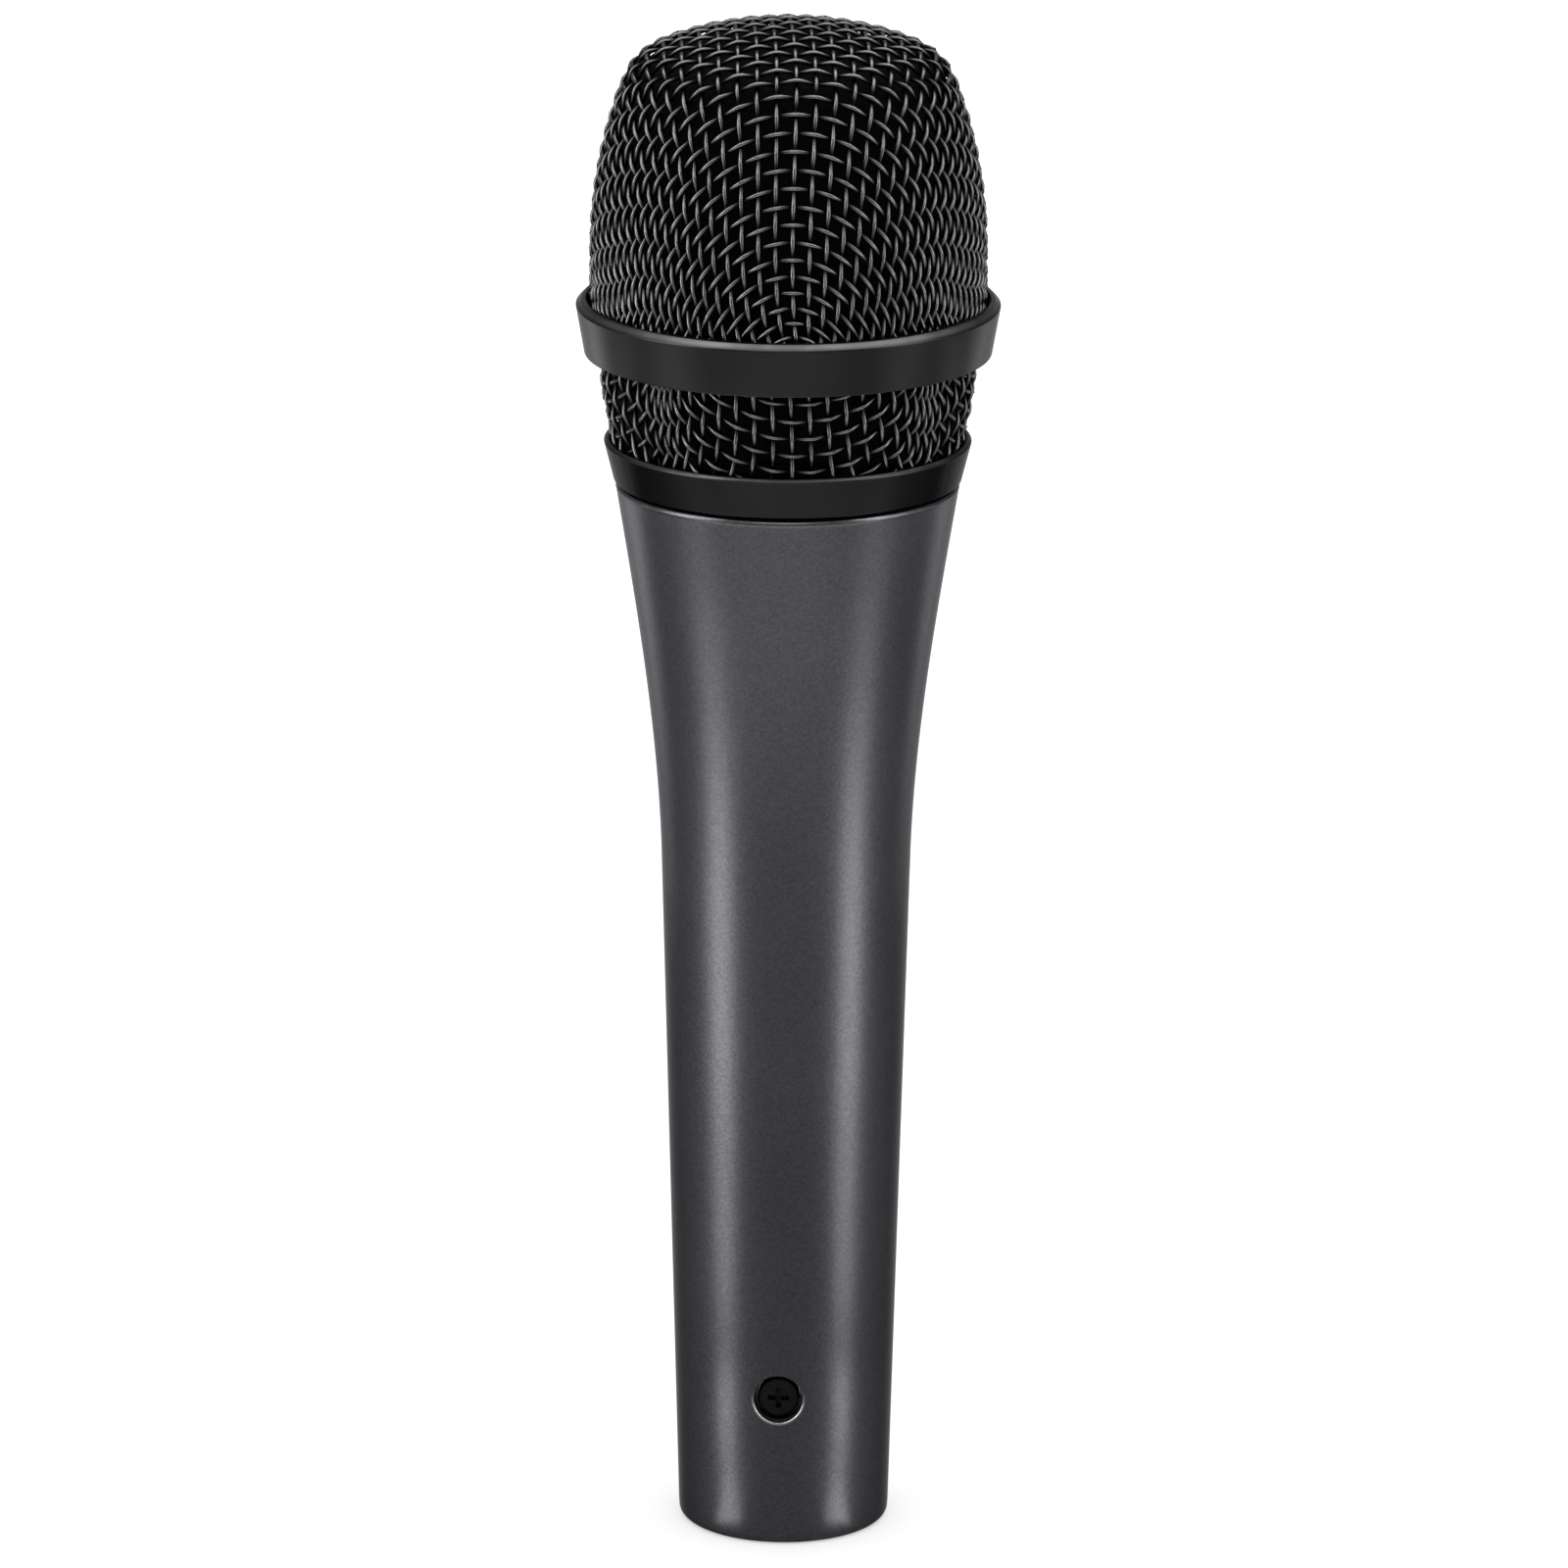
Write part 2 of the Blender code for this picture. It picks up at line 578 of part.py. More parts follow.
def build_capsule():
    housing = [
        (STEM_BORE - STEM_LIP_WIDTH, STEM_BASE),
        (STEM_RADIUS, STEM_BASE),
        (STEM_RADIUS, CUP_BASE),
        (CAPSULE_RADIUS, CUP_BASE),
        (CAPSULE_RADIUS, CUP_TOP),
        (CUP_BORE, CUP_TOP),
        (CUP_BORE, CUP_BASE + CUP_FLOOR),
        (STEM_BORE, CUP_BASE + CUP_FLOOR),
        (STEM_BORE, STEM_BASE + STEM_LIP_HEIGHT),
        (STEM_BORE - STEM_LIP_WIDTH, STEM_BASE + STEM_LIP_HEIGHT),
    ]
    piece("capsule_housing", turned(housing, INNER_SIDES), BLACK_PLASTIC)
    yoke = [
        (0.0, YOKE_BASE),
        (YOKE_RADIUS, YOKE_BASE),
        (YOKE_RADIUS, YOKE_TOP),
        (YOKE_BORE, YOKE_TOP),
        (YOKE_BORE, YOKE_BASE + YOKE_FLOOR),
        (0.0, YOKE_BASE + YOKE_FLOOR),
    ]
    piece("magnet_yoke", turned(yoke, INNER_SIDES), STEEL)
    magnet_top = POLE_BASE - THIN_CLEARANCE
    piece("magnet", rod(MAGNET_RADIUS, MAGNET_BASE, magnet_top, INNER_SIDES), MAGNET_GREY)
    piece("pole_plate", rod(POLE_RADIUS, POLE_BASE, YOKE_TOP, INNER_SIDES), STEEL)
    half_coil = COIL_THICKNESS / 2
    coil = tube_outline(COIL_MIDDLE - half_coil, COIL_MIDDLE + half_coil, COIL_TOP - COIL_LENGTH, COIL_TOP)
    piece("voice_coil", turned(coil, INNER_SIDES), COPPER)

    dome_top = DIAPHRAGM_LOW + DIAPHRAGM_DOME
    surround = (COIL_MIDDLE + half_coil, DIAPHRAGM_LOW)
    under = [(0.0, dome_top), (COIL_MIDDLE / 2, DIAPHRAGM_LOW + DIAPHRAGM_DOME * 0.75)]
    under += [(COIL_MIDDLE - half_coil, DIAPHRAGM_LOW), surround]
    under += [(RIM_INNER, DIAPHRAGM_HIGH), (RIM_OUTER, DIAPHRAGM_HIGH)]
    over = [(radius, height + DIAPHRAGM_THICKNESS) for radius, height in reversed(under)]
    piece("diaphragm", turned(under + over, INNER_SIDES), CLEAR_FILM)
    rim_base = CUP_BASE + CUP_FLOOR + THIN_CLEARANCE
    rim = tube_outline(RIM_INNER, RIM_OUTER, rim_base, DIAPHRAGM_HIGH - THIN_CLEARANCE)
    piece("diaphragm_rim", turned(rim, INNER_SIDES), ALLOY)

    cover_outline = [
        (0.0, CUP_TOP - COVER_PLATE),
        (RIM_INNER, CUP_TOP - COVER_PLATE),
        (RIM_INNER, COVER_BASE),
        (RIM_OUTER, COVER_BASE),
        (RIM_OUTER, CUP_TOP),
        (0.0, CUP_TOP),
    ]
    cover = piece("capsule_cover", turned(cover_outline, INNER_SIDES), BLACK_PLASTIC)
    places = [(0.0, 0.0)]
    for turn in range(COVER_HOLES):
        angle = 2.0 * math.pi * turn / COVER_HOLES
        places.append((COVER_HOLE_CIRCLE * math.cos(angle), COVER_HOLE_CIRCLE * math.sin(angle)))
    for number, (x, y) in enumerate(places):
        hole = rod(COVER_HOLE_RADIUS, COVER_BASE, CUP_TOP + COVER_PLATE, SMALL_SIDES // 2)
        shape_with(cover, cutter(f"cover_hole_{number}", hole, (x, y, 0.0)), "DIFFERENCE")
    screen_base = CUP_TOP + THIN_CLEARANCE
    screen = rod(RIM_OUTER, screen_base, screen_base + SCREEN_THICKNESS, INNER_SIDES)
    piece("dust_screen", screen, GREY_CLOTH)

    board = tube_outline(BOARD_HOLE_RADIUS, BOARD_RADIUS, BOARD_TOP - BOARD_THICKNESS, BOARD_TOP)
    piece("terminal_board", turned(board, INNER_SIDES), BOARD_BROWN)
    tab_size = (TAB_WIDTH, TAB_THICKNESS, TAB_LENGTH)
    tab_height = (TAB_TOP + TAB_END) / 2
    piece("terminal_tab_hot", block(tab_size, (TAB_OFFSET, 0.0, tab_height)), BRASS)
    piece("terminal_tab_cold", block(tab_size, (-TAB_OFFSET, 0.0, tab_height)), BRASS)


def build_socket(screw_passage):
    sleeve_outline = tube_outline(SOCKET_RADIUS, SLEEVE_RADIUS, SLEEVE_RECESS, SLEEVE_TOP)
    sleeve = piece("connector_sleeve", turned(sleeve_outline, OUTER_SIDES), STEEL)
    shape_with(sleeve, screw_passage, "DIFFERENCE")
    latch = block((LATCH_WIDTH, SLEEVE_RADIUS, LATCH_HEIGHT), (0.0, SLEEVE_RADIUS, LATCH_DEPTH))
    shape_with(sleeve, cutter("latch_window", latch), "DIFFERENCE")

    plug = rod(SOCKET_RADIUS - CLEARANCE, SOCKET_DEPTH, INSULATOR_TOP, INNER_SIDES)
    insulator = piece("connector_insulator", plug, BLACK_PLASTIC)
    tip = SCREW_HEAD_BASE - SCREW_LENGTH
    screw_hole = crossways(rod(SCREW_RADIUS + THIN_CLEARANCE, tip - CLEARANCE, SEAT_RADIUS, SMALL_SIDES), 0.0)
    shape_with(insulator, cutter("insulator_screw_hole", screw_hole, (0.0, 0.0, SCREW_HEIGHT)), "DIFFERENCE")
    for name, (x, y) in PIN_PLACES.items():
        hole = rod(PIN_RADIUS + THIN_CLEARANCE, 0.0, PIN_TOP, SMALL_SIDES)
        shape_with(insulator, cutter(f"{name}_hole", hole, (x, y, 0.0)), "DIFFERENCE")
        pin = turned(
            [
                (0.0, PIN_RECESS),
                (PIN_RADIUS / 2, PIN_RECESS),
                (PIN_RADIUS, PIN_RECESS + PIN_RADIUS / 2),
                (PIN_RADIUS, PIN_TOP),
                (0.0, PIN_TOP),
            ],
            SMALL_SIDES,
        )
        piece(name, pin, SILVER, (x, y, 0.0))

    pin_x, pin_y = PIN_PLACES["contact_pin_1"]
    half = SPRING_WIDTH / 2
    reach = math.sqrt((STOP_RADIUS - CLEARANCE) ** 2 - (pin_y + half) ** 2) * math.cos(math.pi / OUTER_SIDES)
    foot = PIN_TOP + THIN_CLEARANCE
    section = [
        (pin_x + PIN_RADIUS, foot),
        (-reach, foot),
        (-reach, foot + SPRING_LEAF),
        (-reach + SPRING_THICKNESS, foot + SPRING_LEAF),
        (-reach + SPRING_THICKNESS, foot + SPRING_THICKNESS),
        (pin_x + PIN_RADIUS, foot + SPRING_THICKNESS),
    ]
    leaf = bmesh.new()
    side = leaf.faces.new([leaf.verts.new((x, pin_y - half, z)) for x, z in section])
    swept = bmesh.ops.extrude_face_region(leaf, geom=[side])["geom"]
    far_side = [part for part in swept if isinstance(part, bmesh.types.BMVert)]
    bmesh.ops.translate(leaf, verts=far_side, vec=(0.0, SPRING_WIDTH, 0.0))
    piece("ground_spring", leaf, BRASS)


def build_screw():
    screw_outline = [
        (0.0, SCREW_HEAD_BASE - SCREW_LENGTH),
        (SCREW_RADIUS / 2, SCREW_HEAD_BASE - SCREW_LENGTH),
        (SCREW_RADIUS, SCREW_HEAD_BASE - SCREW_LENGTH + SCREW_RADIUS / 2),
        (SCREW_RADIUS, SCREW_HEAD_BASE),
        (SCREW_HEAD_RADIUS, SCREW_HEAD_BASE),
        (SCREW_HEAD_RADIUS, SCREW_HEAD_BASE + SCREW_HEAD_HEIGHT * 0.6),
        (SCREW_HEAD_RADIUS * 0.8, SCREW_HEAD_BASE + SCREW_HEAD_HEIGHT),
        (0.0, SCREW_HEAD_BASE + SCREW_HEAD_HEIGHT),
    ]
    place = (0.0, 0.0, SCREW_HEIGHT)
    screw = piece("locking_screw", crossways(turned(screw_outline, INNER_SIDES), 0.0), BLACK_METAL, place)
    top = SCREW_HEAD_BASE + SCREW_HEAD_HEIGHT
    for number, size in enumerate(
        (
            (SCREW_CROSS_LENGTH, 2.0 * SCREW_CROSS_DEPTH, SCREW_CROSS_WIDTH),
            (SCREW_CROSS_WIDTH, 2.0 * SCREW_CROSS_DEPTH, SCREW_CROSS_LENGTH),
        )
    ):
        slot = block(size, (0.0, -top, 0.0))
        shape_with(screw, cutter(f"screw_slot_{number}", slot, place), "DIFFERENCE")
    washer = tube_outline(
        SCREW_RADIUS + THIN_CLEARANCE, WASHER_RADIUS, WASHER_BASE, WASHER_BASE + WASHER_THICKNESS
    )
    piece("lock_washer", crossways(turned(washer, INNER_SIDES), 0.0), STEEL, place)


def wire(name, route, look):
    """An insulated wire along a route of points."""
    line = bpy.data.curves.new(name, "CURVE")
    line.dimensions = "3D"
    line.bevel_depth = WIRE_RADIUS
    line.bevel_resolution = 1
    line.use_fill_caps = True
    line.resolution_u = 3
    strand = line.splines.new("NURBS")
    strand.points.add(len(route) - 1)
    for point, place in zip(strand.points, route):
        point.co = (*place, 1.0)
    strand.order_u = 3
    strand.use_endpoint_u = True
    thing = bpy.data.objects.new(name, line)
    bpy.context.collection.objects.link(thing)
    line.materials.append(finish(name, *look))
    merge = thing.modifiers.new("merge", "WELD")
    merge.merge_threshold = WELD


def build_wires():
    low = PIN_TOP + THIN_CLEARANCE + WIRE_RADIUS / 2
    high = TAB_END - THIN_CLEARANCE
    rise = high - low
    slack = 2.2 * MM
    for name, pin, side, look in (
        ("wire_hot", "contact_pin_2", 1.0, RED_SHEATH),
        ("wire_cold", "contact_pin_3", -1.0, BLUE_SHEATH),
    ):
        x, y = PIN_PLACES[pin]
        route = [
            (x, y, low),
            (x, y, low + 0.06 * rise),
            (x + side * slack, y - slack, low + 0.2 * rise),
            (side * TAB_OFFSET, slack, low + 0.45 * rise),
            (side * (TAB_OFFSET + slack), -slack, low + 0.7 * rise),
            (side * TAB_OFFSET, 0.0, low + 0.93 * rise),
            (side * TAB_OFFSET, 0.0, high),
        ]
        wire(name, route, look)


for leftover in list(bpy.data.objects):
    bpy.data.objects.remove(leftover, do_unlink=True)
passage_tool = build_handle()
build_head()
build_neck_seals()
build_capsule()
build_socket(passage_tool)
build_screw()
build_wires()
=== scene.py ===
"""Looks of a hand-held dynamic microphone.

It has a woven two-part grille, a screw-on head, a flared handle and a plug socket.
The frame is in metres, +Z up along the axis, origin at the centre of the base, screw hole towards -Y.
The sizes named below are in millimetres, and those of the lamps and the camera in metres.
A tube is given by its inner and outer radius and its two ends, and a rod by its radius and its two ends.
"""
import math

import bmesh
import bpy
import numpy as np
from mathutils import Matrix, Vector, noise


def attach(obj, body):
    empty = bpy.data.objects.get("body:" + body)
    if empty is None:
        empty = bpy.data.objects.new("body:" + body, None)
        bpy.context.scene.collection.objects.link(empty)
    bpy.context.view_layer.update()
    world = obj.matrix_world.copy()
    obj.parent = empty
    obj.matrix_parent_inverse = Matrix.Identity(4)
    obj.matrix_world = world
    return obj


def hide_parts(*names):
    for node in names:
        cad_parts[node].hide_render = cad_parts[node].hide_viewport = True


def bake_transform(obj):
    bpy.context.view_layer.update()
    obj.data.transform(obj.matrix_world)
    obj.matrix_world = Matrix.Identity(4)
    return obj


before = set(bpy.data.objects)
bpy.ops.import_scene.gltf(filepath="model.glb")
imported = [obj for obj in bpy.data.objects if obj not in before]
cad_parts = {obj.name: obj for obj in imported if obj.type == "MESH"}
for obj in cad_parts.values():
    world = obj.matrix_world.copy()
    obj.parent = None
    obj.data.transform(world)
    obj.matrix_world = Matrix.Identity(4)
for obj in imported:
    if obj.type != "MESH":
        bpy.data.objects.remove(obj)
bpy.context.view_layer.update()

MM = 0.001
FULL_TURN = 2.0 * math.pi
WELD = 0.000002
SHARP = math.radians(28.0)
OUTER_SIDES = 192
INNER_SIDES = 96
SMALL_SIDES = 48

# Handle
BASE_RADIUS = 12.6
BASE_ROUNDING = 1.1
WAIST = (14.83, 82.8)
SHOULDER = (20.3, 128.35)
BODY_SLOPE = (WAIST[0] - BASE_RADIUS) / WAIST[1]
FLARE_SLOPE = 0.165
SHOULDER_ROUNDING = 0.55
HANDLE_TOP = 128.8
NECK_RADIUS = 17.6
NECK_TOP = 135.8
NECK_BORE = 15.6
BORE_LOW = 113.0
HANDLE_WALL = 2.4
SEAT_RADIUS = 9.5
STOP_RADIUS = 8.6
STOP_LOW = 26.8
STOP_HIGH = 30.0
GASKET = (17.9, 19.2, 128.92, 129.92)

# Threads
THREAD_PITCH = 1.5
THREAD_DEPTH = 0.75
THREAD_START = 131.0
THREAD_WIDTHS = (0.8, 0.35)
NECK_TURNS = 2.75
COLLAR_TURNS = 2.0

# Screw and its hole
SCREW_HEIGHT = 18.5
HOLE_FLOOR = 10.25
HOLE_RADIUS = 2.9
HOLE_CHAMFER = 0.28
PASSAGE_RADIUS = 1.75
SCREW_RADIUS = 1.2
SCREW_CREST = 1.45
SCREW_PITCH = 0.5
SCREW_TURNS = 8.5
SCREW_START = 6.2
SCREW_WIDTHS = (0.42, 0.1)
SCREW_TIP = 5.19
SCREW_SEAT = 10.89
SCREW_TOP = 12.09
SCREW_HEAD = 2.5
SCREW_ROUNDING = 0.45
RECESS_LENGTH = 2.9
RECESS_WIDTH = 0.75
RECESS_DEPTH = 0.8
RECESS_TAPER = 0.72
WASHER = (1.57, 2.6, 10.37, 10.77)
WASHER_TURN = math.radians(346.0)

# Head
COLLAR_LOW = 129.15
COLLAR_HIGH = 134.05
COLLAR_TOP = 135.4
COLLAR_FOOT = 20.55
COLLAR_RADIUS = 21.7
COLLAR_CHAMFER = 0.35
COLLAR_BORE = 18.75
COLLAR_POCKET = (19.5, 130.22)
GROOVE = (19.58, 21.02)
GROOVE_FLOOR = 132.85
RING_FOOT = 24.0
RING_RADIUS = 25.0
RING_LOWER_BORE = 22.57
RING_UPPER_BORE = 23.67
RING_LOW = 144.4
RING_HIGH = 150.8
RING_CHAMFER = 0.72
WEB_BORE = 21.02
WEB_LOW = 147.1
WEB_HIGH = 148.1
BOWL_FOOT = (20.9, COLLAR_HIGH)
BOWL_HEAD = (22.45, RING_LOW)
BOWL_SLOPE = 0.3
BOWL_LOW = 132.97
BOWL_HIGH = 146.98
DOME_RADIUS = 23.55
DOME_LOW = 148.22
SKIRT_HIGH = 156.63
SIDE_ARC = (56.66, math.radians(21.57))
SHOULDER_ARC = (6.0, math.radians(68.36))
FOAM_GAP = 1.5
FOAM_SIDES = 160
FOAM_PIT = 0.09
FOAM_CELLS = (0.9, 0.4)
DOME_FOAM_DEPTH = 4.5
BOWL_FOAM_DEPTH = 3.1
BOWL_FOAM_LOW = 135.52

# Weave
WIRE_RADIUS = 0.26
WEAVE_DEPTH = 0.6
WEAVE_SWING = 3.0 * WIRE_RADIUS
DOME_WIRES = 30
BOWL_WIRES = 24

# How the dome's flat weave is drawn: pitch in millimetres, then factors of rising powers of the flat reach
DOME_TURN = math.radians(-90.0 + 4.85)
DOME_REACH = 50.0
DOME_PITCH = 2.1504
DOME_SHIFT = (-0.1178, 0.0789)
DOME_STRETCH = (1.0, 0.0191, -0.0656)
DOME_PULL = (-0.2588, 0.2018, -0.091)
DOME_FINE_PULL = (-0.0648, 0.0011)
DOME_SWING = (0.1724, 0.2409, -0.4091)
DOME_FINE_SWING = (0.0344, 0.0214)
DOME_TWIST = (0.0236, -0.1441, 0.1232)

# The same for the bowl, whose factors are of powers of the flat reach from the middle of its wall
BOWL_TURN = math.radians(-90.0 + 4.25)
BOWL_MIDDLE = 27.0
BOWL_STEP = 10.0
BOWL_PITCH = 2.1436
BOWL_SHIFT = (-0.7149, -0.3599)
BOWL_RISE = (137.3781, 9.851)
BOWL_PULL = (-0.5924, -1.8967, -0.7728)
BOWL_FINE_PULL = (-0.0959, 0.4526)
BOWL_SWING = (0.1012, 0.0689, 0.056)
BOWL_FINE_SWING = (-0.0125, -0.0077)
BOWL_TWIST = (0.0407, -0.0176, -0.0064)

# Socket
SLEEVE = (8.1, 9.2, 0.5, 26.5)
LATCH_SIZE = (4.0, 9.2, 3.0)
LATCH_PLACE = (0.0, 9.2, 4.5)
INSULATOR = (7.8, 13.7, 24.2)
SCREW_BORE = (1.57, 4.89, 9.5)
PIN_BORE = 1.32
PIN_RADIUS = 1.2
PIN_ROUNDING = 0.85
PIN_TAIL = 1.0
PIN_TIP = 4.4
PIN_END = 27.4
PIN_PLACES = {"contact_pin_1": (-3.81, 1.27), "contact_pin_2": (3.81, 1.27), "contact_pin_3": (0.0, -2.54)}

# Capsule
LIP_FOOT = 134.33
LIP_TOP = 136.82
COVER_HOLE = (1.5, 146.5, 151.0)
COVER_CIRCLE = 7.0
COVER_HOLES = 6
FILM_LEVEL = 144.76
FILM_THICKNESS = 0.15
FILM_DOME = (7.25, 1.7)
FILM_SEAT = 7.95
FILM_WIDTH = 3.95
FILM_RISE = 0.9
FILM_RIPPLE = 0.12
FILM_RIM = 12.8
FILM_STILL = 145.6
FILM_MOVED = 144.95
COIL_WIRE = 0.16
COIL_LAYERS = (7.42, 7.78)
COIL_TURNS = 15
COIL_STEPS = 40
COIL_LOW = 139.62
COIL_RISE = 4.84
CLOTH_RADIUS = 12.75
CLOTH_HEIGHT = 150.1
CLOTH_CROWN = 0.12
CLOTH_RINGS = 14
CLOTH_RING = 0.85
CLOTH_THICKNESS = 0.3
TAB_SIZE = (2.0, 0.5, 2.6)
TAB_ASIDE = 5.0
TAB_HEIGHT = 125.38
EYE_HEIGHT = 125.0
EYE_RADIUS = 0.5

# Leads
LEAD_RADIUS = 0.55
LEAD_LOW = 27.795
LEAD_HIGH = 123.96
LEAD_SLACK = 2.2
LEAD_STILL = 60.0
LEAD_MOVED = 118.0

# Lamps in left and right pairs: bearing from the camera in degrees, then in metres how far out, size and
# height of the middle, then the glow of each
STRIPS = {
    "strip": (66.0, 0.21, (0.095, 0.37), 0.265, (15.0, 10.0)),
    "ring_strip": (57.0, 0.06, (0.0195, 0.012), 0.1225, (3.0, 2.5)),
    "ring_end": (93.5, 0.0752, (0.016, 0.010), 0.117, (9.0, 8.5)),
    "collar_strip": (57.0, 0.06, (0.0195, 0.014), 0.103, (2.0, 2.0)),
    "neck_strip": (57.0, 0.06, (0.0195, 0.019), 0.0845, (4.6, 4.2)),
    "mid_strip": (57.0, 0.06, (0.0195, 0.037), 0.0565, (12.0, 11.0)),
    "low_strip": (57.0, 0.06, (0.0195, 0.03), 0.023, (8.5, 8.0)),
    "foot_strip": (52.0, 0.033, (0.0085, 0.012), 0.008, (9.5, 9.0)),
    "rim": (130.0, 0.2, (0.06, 0.063), 0.0615, (13.0, 9.0)),
}
FLOOR_STRIP_BEARING = math.radians(30.7)
FLOOR_STRIP_OUT = 0.0115
FLOOR_STRIP_HEIGHT = 0.0012
FLOOR_STRIP_SIZE = (0.0055, 0.015)
FLOOR_STRIP_GLOW = 8.0
FLOOR_STRIP_AIM = (0.03, 0.3)
BOUNCE_SPREAD = math.radians(126.0)
SKY_GLOW = 0.9
FLOOR_GLOW = 0.42
FLOOR_SIZE = 4.0

# Camera, as fitted to the photo: sensor in millimetres, picture and focal length in pixels, the rest metres
SENSOR_WIDTH = 36.0
PICTURE_WIDTH = 1600.0
FOCAL_LENGTH = 10684.58
CAMERA_BEARING = math.radians(3.05)
CAMERA_TILT = math.radians(15.6392)
CAMERA_ROLL = math.radians(0.2378)
CAMERA_DISTANCE = 1.24579
CAMERA_ASIDE = -0.000277
CAMERA_AIM = 0.0914236


class Tone:
    """A value, colour or vector in a finish, with sums written as plain expressions."""

    def __init__(self, tree, socket):
        self.tree = tree
        self.socket = socket

    def add(self, kind, settings, values, output=0):
        """A node of this kind: its settings first, then the values or links of its sockets."""
        node = self.tree.nodes.new(kind)
        for name, value in settings.items():
            setattr(node, name, value)
        for name, value in values.items():
            if isinstance(value, Tone):
                self.tree.links.new(value.socket, node.inputs[name])
            else:
                node.inputs[name].default_value = value
        return Tone(self.tree, node.outputs[output])

    def sum_of(self, operation, first, second):
        return self.add("ShaderNodeMath", {"operation": operation}, {0: first, 1: second})

    def __add__(self, other):
        return self.sum_of("ADD", self, other)

    def __sub__(self, other):
        return self.sum_of("SUBTRACT", self, other)

    def __rsub__(self, other):
        return self.sum_of("SUBTRACT", other, self)

    def __mul__(self, other):
        return self.sum_of("MULTIPLY", self, other)

    def __abs__(self):
        return self.add("ShaderNodeMath", {"operation": "ABSOLUTE"}, {0: self})

    __radd__ = __add__
    __rmul__ = __mul__


def axes(place):
    """The three coordinates of a place."""
    node = place.tree.nodes.new("ShaderNodeSeparateXYZ")
    place.tree.links.new(place.socket, node.inputs[0])
    return [Tone(place.tree, socket) for socket in node.outputs]


def cloud(place, size, detail=2.0):
    """Soft noise from 0 to 1 with spots of about this size."""
    values = {"Vector": place, "Scale": 1.0 / size, "Detail": detail}
    return place.add("ShaderNodeTexNoise", {}, values, "Fac")


def lathe_lines(height, size):
    """Noise that only changes along the axis, as a lathe leaves it."""
    values = {"W": height, "Scale": 1.0 / size, "Detail": 3.0}
    return height.add("ShaderNodeTexNoise", {"noise_dimensions": "1D"}, values, "Fac")


def flakes(place, size):
    """A random value in each small cell."""
    cell = place.add("ShaderNodeTexVoronoi", {}, {"Vector": place, "Scale": 1.0 / size}, "Color")
    return axes(cell)[0]


def eased(value, low, high):
    """From 0 to 1 as a value passes from low to high."""
    settings = {"interpolation_type": "SMOOTHSTEP"}
    return value.add("ShaderNodeMapRange", settings, {"Value": value, "From Min": low, "From Max": high})


def near(value, centre, reach):
    """1 at a centre, falling to 0 at a reach from it."""
    return eased(abs(value - centre), reach, 0.0)


def tint(share, first, second):
    """A colour between two others."""
    values = {0: share}
    for socket, colour in ((6, first), (7, second)):
        values[socket] = colour if isinstance(colour, Tone) else (*colour, 1.0)
    return share.add("ShaderNodeMix", {"data_type": "RGBA"}, values, 2)


def relief(height, depth):
    """A surface that rises by this depth where a height is 1."""
    return height.add("ShaderNodeBump", {}, {"Strength": 1.0, "Distance": depth, "Height": height})


def finish(name, look, constants):
    """A surface whose look gives what changes over it and whose constants are the same all over."""
    surface = bpy.data.materials.new(name)
    surface.use_nodes = True
    tree = surface.node_tree
    shader = tree.nodes["Principled BSDF"]
    for socket, value in constants.items():
        shader.inputs[socket].default_value = value
    coordinates = tree.nodes.new("ShaderNodeTexCoord")
    for socket, tone in look(Tone(tree, coordinates.outputs["Object"])).items():
        tree.links.new(tone.socket, shader.inputs[socket])
    return surface


def satin_paint(place):
    """Dark grey metal-flake paint, rubbed a little at the rims, where the top rim is also lightened as a
    painted highlight, and with a painted highlight on the hole's lower lip.
    """
    across, along, height = axes(place)
    flake = flakes(place, 0.22 * MM)
    drift = cloud(place, 17.0 * MM)
    peel = cloud(place, 0.55 * MM, 3.0)
    body = tint(0.5 * flake + 0.35 * drift + 0.1, (0.0205, 0.0206, 0.0222), (0.0385, 0.0388, 0.0420))
    # The rims are rubbed lighter as real wear, but the band along the top rim is also a painted highlight
    # of the rounded top edge.
    top_rim = near(height, (HANDLE_TOP - 0.2) * MM, 0.5 * MM)
    rims = top_rim + near(height, 0.2 * MM, 0.8 * MM)
    rubbed_and_highlight = rims * eased(cloud(place, 4.0 * MM, 4.0), 0.35, 0.75)
    # The lower half of the hole's mouth is painted lighter: a painted highlight for light from above
    # catching the chamfer.
    aside = height - SCREW_HEIGHT * MM
    from_hole = across * across + aside * aside
    front = eased(along, 0.0, -1.0 * MM)
    lip = near(from_hole, 9.2 * MM * MM, 1.8 * MM * MM) * front * eased(aside, 1.2 * MM, -1.0 * MM)
    painted = tint(0.3 * rubbed_and_highlight, body, (0.13, 0.13, 0.135))
    return {
        "Base Color": tint(lip, painted, (0.14, 0.14, 0.145)),
        "Roughness": 0.30 + 0.06 * peel + 0.03 * drift - 0.04 * rubbed_and_highlight - 0.07 * top_rim,
        "Normal": relief(0.4 * flake + peel, 0.006 * MM),
    }


